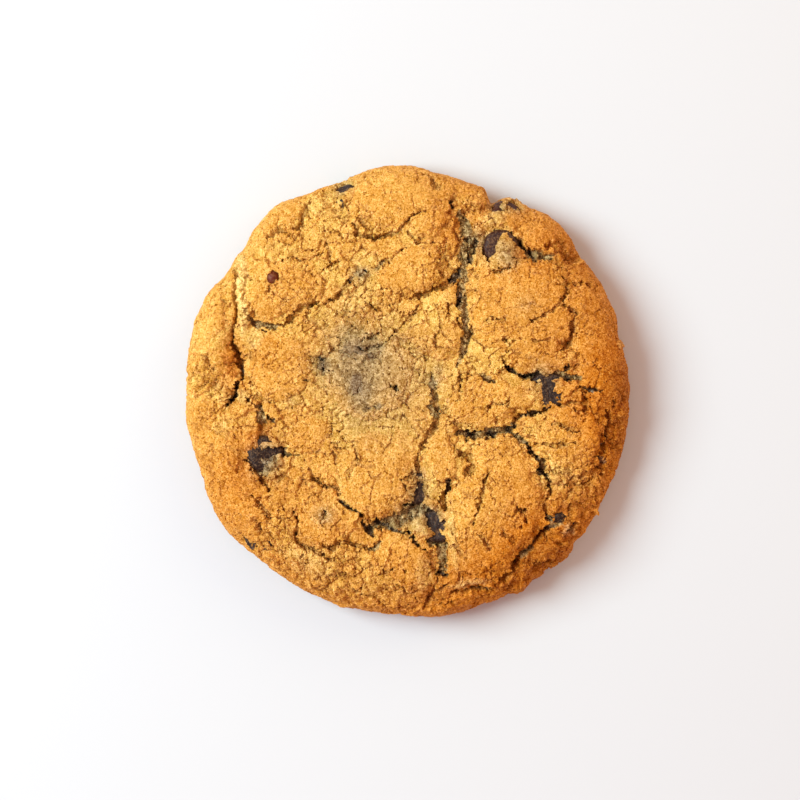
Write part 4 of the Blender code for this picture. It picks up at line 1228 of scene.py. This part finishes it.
def put(tree, kind, inputs, **settings):
    """Adds a node, sets it up and fills or links its inputs by name or number."""
    made = tree.nodes.new(kind)
    for name, value in settings.items():
        setattr(made, name, value)
    for key, value in inputs.items():
        socket = made.inputs[key]
        if isinstance(value, bpy.types.NodeSocket):
            tree.links.new(value, socket)
        else:
            socket.default_value = value
    return made


def number(tree, operation, first, second=0.0, third=0.0):
    """A Math node's result."""
    return put(tree, "ShaderNodeMath", {0: first, 1: second, 2: third}, operation=operation).outputs[0]


def times(tree, vector, scale):
    """A vector times a number."""
    return put(tree, "ShaderNodeVectorMath", {0: vector, "Scale": scale}, operation="SCALE").outputs[0]


def random_vector(tree, least, most):
    """A random vector for each crumb."""
    return put(tree, "FunctionNodeRandomValue", {0: least, 1: most}, data_type="FLOAT_VECTOR").outputs[0]


def crumb_tree():
    """Loose crumbs strewn over a surface, closer together where its own loose mask is high."""
    real = "NodeSocketFloat"
    tree, entry, ending = new_tree(
        "loose crumbs",
        (
            ("Surface", "NodeSocketGeometry", None),
            ("Per Area", real, 1.0),
            ("Smallest", real, 0.0001),
            ("Largest", real, 0.0004),
            ("Seed", "NodeSocketInt", 1),
            ("Finish", "NodeSocketMaterial", None),
        ),
        (("Crumbs", "NodeSocketGeometry"),),
        "GeometryNodeTree",
    )
    given = entry.outputs
    loose = put(tree, "GeometryNodeInputNamedAttribute", {"Name": "loose"}, data_type="FLOAT")
    density = number(tree, "MULTIPLY", loose.outputs["Attribute"], given["Per Area"])
    strewn = put(
        tree,
        "GeometryNodeDistributePointsOnFaces",
        {"Mesh": given["Surface"], "Density": density, "Seed": given["Seed"]},
    )
    ball = put(tree, "GeometryNodeMeshIcoSphere", {"Radius": 1.0, "Subdivisions": 1})
    chance = put(tree, "FunctionNodeRandomValue", {"Seed": given["Seed"]}, data_type="FLOAT")
    rarer = number(tree, "POWER", chance.outputs[1], 3.0)
    span = number(tree, "SUBTRACT", given["Largest"], given["Smallest"])
    size = number(tree, "MULTIPLY_ADD", rarer, span, given["Smallest"])
    shape = random_vector(tree, (0.6, 0.7, 0.5), (1.3, 1.0, 0.9))
    placed = put(
        tree,
        "GeometryNodeInstanceOnPoints",
        {
            "Points": strewn.outputs["Points"],
            "Instance": ball.outputs["Mesh"],
            "Rotation": random_vector(tree, (0.0, 0.0, 0.0), (math.tau, math.tau, math.tau)),
            "Scale": times(tree, shape, size),
        },
    )
    tint = put(tree, "FunctionNodeRandomValue", {"Seed": 7}, data_type="FLOAT")
    tinted = put(
        tree,
        "GeometryNodeStoreNamedAttribute",
        {"Geometry": placed.outputs[0], "Name": "tint", "Value": tint.outputs[1]},
        data_type="FLOAT",
        domain="INSTANCE",
    )
    real_ones = put(tree, "GeometryNodeRealizeInstances", {"Geometry": tinted.outputs[0]})
    lumpy = put(tree, "ShaderNodeTexNoise", {"Scale": 2600.0, "Detail": 0.0}).outputs["Color"]
    centred = put(tree, "ShaderNodeVectorMath", {0: lumpy, 1: (0.5, 0.5, 0.5)}, operation="SUBTRACT")
    shift = times(tree, centred.outputs[0], CRUMB_DENTS)
    dented = put(tree, "GeometryNodeSetPosition", {"Geometry": real_ones.outputs[0], "Offset": shift})
    finish = {"Geometry": dented.outputs[0], "Material": given["Finish"]}
    finished = put(tree, "GeometryNodeSetMaterial", finish)
    tree.links.new(finished.outputs[0], ending.inputs["Crumbs"])
    return tree


def build_crumbs(corners, masks, finish):
    """Loose crumbs on the torn places as one mesh."""
    rows = SHEET_CELLS + 1
    picked = np.arange(rows * rows).reshape(rows, rows)[::2, ::2]
    squares = grid_squares(len(picked) - 1)
    picked = picked.ravel()
    coarse_masks = {key: values[picked] for key, values in masks.items()}
    crumbs = add_object("crumbs_looks", mesh_from("crumbs_looks", corners[picked], squares, coarse_masks))
    tree = crumb_tree()
    strew = crumbs.modifiers.new("loose crumbs", "NODES")
    strew.node_group = tree
    settings = {
        "Per Area": CRUMBS_PER_AREA,
        "Smallest": CRUMB_SMALLEST,
        "Largest": CRUMB_LARGEST,
        "Seed": 3,
        "Finish": finish,
    }
    for item in tree.interface.items_tree:
        if item.in_out == "INPUT" and item.name in settings:
            strew[item.identifier] = settings[item.name]
    settle(crumbs)
    crumbs.data.shade_flat()
    return crumbs


def chip_section(radius, height):
    """The half section of a chip from tip to base, as evenly spaced points."""
    shape = np.array(CHIP_SECTION)
    length = length_along(shape)
    run = np.linspace(0.0, length[-1], CHIP_ROWS)
    return np.interp(run, length, shape[:, 0]) * radius, np.interp(run, length, shape[:, 1]) * height


def chip_faces(rows):
    """The faces of a chip of so many rings, whose last two corners are its tip and the middle of its base."""
    faces = []
    for row in range(rows - 1):
        first = row * CHIP_STEPS
        for step in range(CHIP_STEPS):
            ahead = (step + 1) % CHIP_STEPS
            faces.append((first + step, first + CHIP_STEPS + step, first + CHIP_STEPS + ahead, first + ahead))
    tip = rows * CHIP_STEPS
    last = (rows - 1) * CHIP_STEPS
    for step in range(CHIP_STEPS):
        ahead = (step + 1) % CHIP_STEPS
        faces.append((tip, step, ahead))
        faces.append((tip + 1, last + ahead, last + step))
    return faces


def build_chip(name, seed):
    """One chip: a turned drop, slightly melted and dented, in its place."""
    base, (round_way, up_way), radius, height = CHIPS[name]
    wide, high = chip_section(radius, height)
    turn = np.arange(CHIP_STEPS) * (2.0 * math.pi / CHIP_STEPS)
    ring_x = wide[1:-1, None] * np.cos(turn)[None, :]
    ring_y = wide[1:-1, None] * np.sin(turn)[None, :]
    ring_z = np.repeat(high[1:-1, None], CHIP_STEPS, axis=1)
    body = np.column_stack([ring_x.ravel(), ring_y.ravel(), ring_z.ravel()])
    local = np.vstack([body, [[0.0, 0.0, high[0]]], [[0.0, 0.0, high[-1]]]])
    outward = local - np.array([0.0, 0.0, height * CHIP_MIDDLE])
    outward /= np.linalg.norm(outward, axis=1)[:, None]
    dents = CHIP_DENTS * layered(local + seed * 13.0, 2.6, 110 + seed, 3)
    dents = dents + CHIP_FINE_DENTS * waves(local, 0.6, 120 + seed)
    local = local + outward * dents[:, None]
    level = math.cos(math.radians(up_way))
    side = math.radians(round_way)
    tilt = Vector((level * math.cos(side), level * math.sin(side), math.sin(math.radians(up_way))))
    pose = np.array(tilt.to_track_quat("Z", "Y").to_matrix())
    corners = local @ pose.T + np.array(base)
    mesh = bpy.data.meshes.new(name + "_looks")
    mesh.from_pydata((corners * MM).tolist(), [], chip_faces(len(wide) - 2))
    mesh.shade_smooth()
    warm = mesh.attributes.new("warm", "FLOAT", "POINT")
    warm.data.foreach_set("value", [WARM_CHIPS.get(name, 0.0)] * len(mesh.vertices))
    return add_object(name + "_looks", mesh)


def tone(display):
    """A display colour from 0 to 255 as the linear colour that a shader takes."""
    linear = []
    for part in display:
        part /= 255.0
        linear.append(part / 12.92 if part <= 0.04045 else ((part + 0.055) / 1.055) ** 2.4)
    return (*linear, 1.0)


def blend(tree, share, under, over):
    """A colour mixed over another."""
    mix = put(tree, "ShaderNodeMix", {0: share, 6: under, 7: over}, data_type="RGBA", blend_type="MIX")
    return mix.outputs[2]


def between(tree, share, pair):
    """A colour between two display colours."""
    return blend(tree, share, tone(pair[0]), tone(pair[1]))


def stretch(tree, value, low, high, to_low=0.0, to_high=1.0):
    """A value's range moved to another, and held there."""
    inputs = {"Value": value, "From Min": low, "From Max": high, "To Min": to_low, "To Max": to_high}
    return put(tree, "ShaderNodeMapRange", inputs).outputs["Result"]


def mask(tree, name):
    """A piece's own mask."""
    return put(tree, "ShaderNodeAttribute", {}, attribute_name=name).outputs["Fac"]


def lay_over(tree, colour, mask_name, share, over):
    """A colour with a share of a display colour over it, where the piece's own mask is high."""
    return blend(tree, number(tree, "MULTIPLY", mask(tree, mask_name), share), colour, tone(over))


def grain_group():
    """Sandy grain of a given size in metres: a height for bumps, light grains, dark grains and pores."""
    real = "NodeSocketFloat"
    group, entry, ending = new_tree(
        "sandy grain",
        (("Grain Size", real, 0.0005), ("Seed", real, 0.0)),
        (("Height", real), ("Light", real), ("Dark", real), ("Pores", real)),
        "ShaderNodeTree",
    )
    where = put(group, "ShaderNodeTexCoord", {}).outputs["Object"]
    scale = number(group, "DIVIDE", 1.0, entry.outputs["Grain Size"])
    seed = entry.outputs["Seed"]
    shape = {"Vector": where, "W": seed, "Scale": scale, "Detail": 3.0, "Roughness": 0.65}
    coarse = put(group, "ShaderNodeTexNoise", shape, noise_dimensions="4D").outputs["Fac"]
    finer = number(group, "MULTIPLY", scale, 2.1)
    own_seed = number(group, "ADD", seed, 5.0)
    shape = {"Vector": where, "W": own_seed, "Scale": finer, "Detail": 2.0, "Roughness": 0.7}
    fine = put(group, "ShaderNodeTexNoise", shape, noise_dimensions="4D").outputs["Fac"]
    dots = {"Vector": where, "W": seed, "Scale": number(group, "MULTIPLY", scale, 0.55)}
    spots = put(group, "ShaderNodeTexVoronoi", dots, voronoi_dimensions="4D").outputs["Distance"]
    pores = stretch(group, spots, 0.10, 0.26, 1.0, 0.0)
    mixed = number(group, "ADD", number(group, "MULTIPLY", coarse, 0.6), number(group, "MULTIPLY", fine, 0.4))
    height = number(group, "SUBTRACT", mixed, number(group, "MULTIPLY", pores, 0.25))
    made = {
        "Height": height,
        "Light": stretch(group, mixed, 0.50, 0.66),
        "Dark": stretch(group, mixed, 0.50, 0.34),
        "Pores": pores,
    }
    for label, value in made.items():
        group.links.new(value, ending.inputs[label])
    return group


def place_grain(tree, group, size, seed):
    """The sandy grain at a size in metres."""
    made = tree.nodes.new("ShaderNodeGroup")
    made.node_tree = group
    made.inputs["Grain Size"].default_value = size
    made.inputs["Seed"].default_value = seed
    return made.outputs


def new_material(name):
    """A material with its node tree and its shader."""
    material = bpy.data.materials.new(name)
    material.use_nodes = True
    return material, material.node_tree, material.node_tree.nodes["Principled BSDF"]


def add_bump(tree, shader, height, distance, strength):
    """Fine relief of a depth in metres."""
    bump = put(tree, "ShaderNodeBump", {"Strength": strength, "Distance": distance, "Height": height})
    tree.links.new(bump.outputs["Normal"], shader.inputs["Normal"])


def speckled(tree, colour, tint, sand, dust):
    """A colour with light and dark grains added as the eye sees them, partly painted glints and painted
    shade.
    """
    speckle = number(tree, "MULTIPLY", number(tree, "SUBTRACT", tint, 0.5), TINT_SPECKLE)
    for noise, share in ((sand["Height"], SAND_SPECKLE), (dust["Height"], FINE_GRAIN_AND_GLINT_SPECKLE)):
        swing = number(tree, "MULTIPLY", number(tree, "SUBTRACT", noise, 0.47), share)
        speckle = number(tree, "ADD", speckle, swing)
    speckle = number(tree, "SUBTRACT", speckle, number(tree, "MULTIPLY", sand["Pores"], PORE_SPECKLE))
    shown = put(tree, "ShaderNodeGamma", {"Color": colour, "Gamma": 1.0 / DISPLAY_GAMMA}).outputs[0]
    shown = put(tree, "ShaderNodeVectorMath", {0: shown, 1: speckle}, operation="ADD").outputs[0]
    darkest = {0: shown, 1: (0.03, 0.02, 0.0)}
    shown = put(tree, "ShaderNodeVectorMath", darkest, operation="MAXIMUM").outputs[0]
    return put(tree, "ShaderNodeGamma", {"Color": shown, "Gamma": DISPLAY_GAMMA}).outputs[0]


def dough_material(grain):
    """Baked crust over pale crumb, with khaki and chocolate-stained places, painted shade and painted
    highlights.
    """
    material, tree, shader = new_material("baked dough")
    sand = place_grain(tree, grain, 0.0006, 1.0)
    dust = place_grain(tree, grain, 0.00032, 3.0)
    patches = place_grain(tree, grain, 0.006, 4.0)
    broad = stretch(tree, patches["Height"], 0.3, 0.6)
    tint = mask(tree, "tint")
    toast_and_shade = mask(tree, "toast_and_shade")
    stain = mask(tree, "stain")
    crust = between(tree, broad, CRUST_TONES)
    colour = blend(tree, mask(tree, "broken"), crust, between(tree, broad, CRUMB_TONES))
    # Painted highlight along plate edges.
    colour = lay_over(tree, colour, "edge", 0.35, EDGE_HIGHLIGHT_TONE)
    # Toasting browns the crust; its lean to the lower right and some spots are painted shade.
    colour = blend(tree, toast_and_shade, colour, between(tree, broad, TOAST_AND_SHADE_TONES))
    colour = blend(tree, stretch(tree, toast_and_shade, 1.0, 1.6, 0.0, 0.7), colour, tone(DEEP_TOAST_AND_SHADE_TONE))
    # Paleness: partly raw crumb, partly painted light.
    colour = lay_over(tree, colour, "pale", 0.8, PALE_AND_LIT_TONE)
    # Painted shade in the creases between lumps.
    colour = lay_over(tree, colour, "crease_shade", 0.3, CREASE_SHADE_TONE)
    # Brown crack floors: partly real browning, partly painted shade.
    colour = lay_over(tree, colour, "brown", 0.4, BROWN_AND_SHADE_TONE)
    colour = blend(tree, mask(tree, "khaki"), colour, between(tree, tint, KHAKI_TONES))
    # Hairline cracks and pits darkened: partly browner dough, partly painted shade.
    colour = lay_over(tree, colour, "seams_and_shade", 0.6, SEAM_AND_SHADE_TONE)
    stained = between(tree, tint, STAIN_TONES)
    colour = blend(tree, stretch(tree, stain, 0.0, 0.8, 0.0, 0.85), colour, stained)
    colour = blend(tree, stretch(tree, stain, 0.75, 1.1, 0.0, 0.7), colour, tone(DEEP_STAIN_TONE))
    # Black crack floors: partly melted chocolate, partly painted deep shade.
    chocolate_and_shade = between(tree, stretch(tree, tint, 0.7, 1.0), CHOCOLATE_AND_SHADE_TONES)
    colour = blend(tree, number(tree, "MULTIPLY", mask(tree, "black"), 0.92), colour, chocolate_and_shade)
    # Speckles: the grain's own colour with painted glints and painted fine shade.
    colour = speckled(tree, colour, tint, sand, dust)
    baked = between(tree, patches["Height"], FOOT_TONES)
    colour = blend(tree, mask(tree, "foot"), colour, baked)
    tree.links.new(colour, shader.inputs["Base Color"])
    shader.inputs["Roughness"].default_value = 0.62
    shader.inputs["Specular IOR Level"].default_value = 0.1
    height = number(tree, "MULTIPLY_ADD", dust["Height"], 0.9, sand["Height"])
    add_bump(tree, shader, height, 0.00055, 1.0)
    return material


def chocolate_material(grain):
    """Dark chocolate with a thin greyish bloom and a little dough dust."""
    material, tree, shader = new_material("dark chocolate")
    coarse = place_grain(tree, grain, 0.0009, 9.0)
    fine = place_grain(tree, grain, 0.0004, 11.0)
    colour = between(tree, coarse["Light"], CHOCOLATE_TONES)
    colour = blend(tree, number(tree, "MULTIPLY", fine["Light"], 0.35), colour, tone(BLOOM_TONE))
    colour = blend(tree, mask(tree, "warm"), colour, tone(WARM_CHOCOLATE_TONE))
    dusted = stretch(tree, number(tree, "ADD", fine["Height"], coarse["Height"]), 1.0, 1.3, 0.0, 0.5)
    colour = blend(tree, dusted, colour, tone(CHIP_DUST_TONE))
    tree.links.new(colour, shader.inputs["Base Color"])
    tree.links.new(stretch(tree, coarse["Height"], 0.4, 0.65, 0.3, 0.6), shader.inputs["Roughness"])
    shader.inputs["Specular IOR Level"].default_value = 0.22
    add_bump(tree, shader, fine["Height"], 0.0003, 0.8)
    return material


def build_stage():
    """A wide white table under the cookie."""
    half = TABLE_HALF
    mesh = bpy.data.meshes.new("table")
    corners = [(-half, -half, 0), (half, -half, 0), (half, half, 0), (-half, half, 0)]
    mesh.from_pydata(corners, [], [(0, 1, 2, 3)])
    table = add_object("table", mesh)
    table.location.z = -TABLE_DROP
    material, _, shader = new_material("white table")
    shader.inputs["Base Color"].default_value = TABLE_COLOUR
    shader.inputs["Roughness"].default_value = 0.75
    mesh.materials.append(material)


def build_lamp(name, turn, height, half_width, watts, colour):
    """A round soft lamp one metre away: degrees round and up, degrees from its middle to its edge."""
    lamp = bpy.data.lights.new(name, "AREA")
    lamp.shape = "DISK"
    lamp.size = 2.0 * math.tan(math.radians(half_width))
    lamp.energy = watts
    lamp.color = colour
    holder = add_object(name, lamp)
    turn = math.radians(turn)
    height = math.radians(height)
    level = math.cos(height)
    holder.location = (level * math.cos(turn), level * math.sin(turn), math.sin(height))
    holder.rotation_euler = (-holder.location).to_track_quat("-Z", "Y").to_euler()


def build_lights():
    """A cool window at the left, warm light from all round and a weak warm lamp at the upper right."""
    world = bpy.data.worlds.new("studio")
    bpy.context.scene.world = world
    world.use_nodes = True
    surroundings = world.node_tree.nodes["Background"].inputs
    surroundings["Color"].default_value = (1.0, 0.70, 0.64, 1.0)
    surroundings["Strength"].default_value = 0.68
    build_lamp("window", 166.0, 44.0, 18.0, 15.2, (0.75, 0.99, 1.03))
    build_lamp("glow", 40.0, 30.0, 20.0, 2.4, (1.0, 0.9, 0.4))


def build_camera():
    """A long lens straight above."""
    lens = bpy.data.cameras.new("camera")
    lens.lens = 120.0
    lens.sensor_width = 36.0
    lens.clip_start = 0.01
    camera = add_object("camera", lens)
    away = VIEW_WIDTH * lens.lens / lens.sensor_width
    camera.location = (VIEW_SHIFT, VIEW_SHIFT, away + VIEW_HEIGHT)
    bpy.context.scene.camera = camera
    bpy.context.scene.view_settings.view_transform = "Standard"


def main():
    """Every piece in its finish, on its body and in place of its solid, then table, lamps and camera."""
    grain = grain_group()
    crust = dough_material(grain)
    chocolate = chocolate_material(grain)
    for piece in build_dough(crust):
        piece.data.materials.clear()
        piece.data.materials.append(crust)
        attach(piece, BODY)
        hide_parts("dough")
    for seed, name in enumerate(CHIPS):
        chip = build_chip(name, seed)
        chip.data.materials.append(chocolate)
        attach(chip, BODY)
        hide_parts(name)
    build_stage()
    build_lights()
    build_camera()


main()
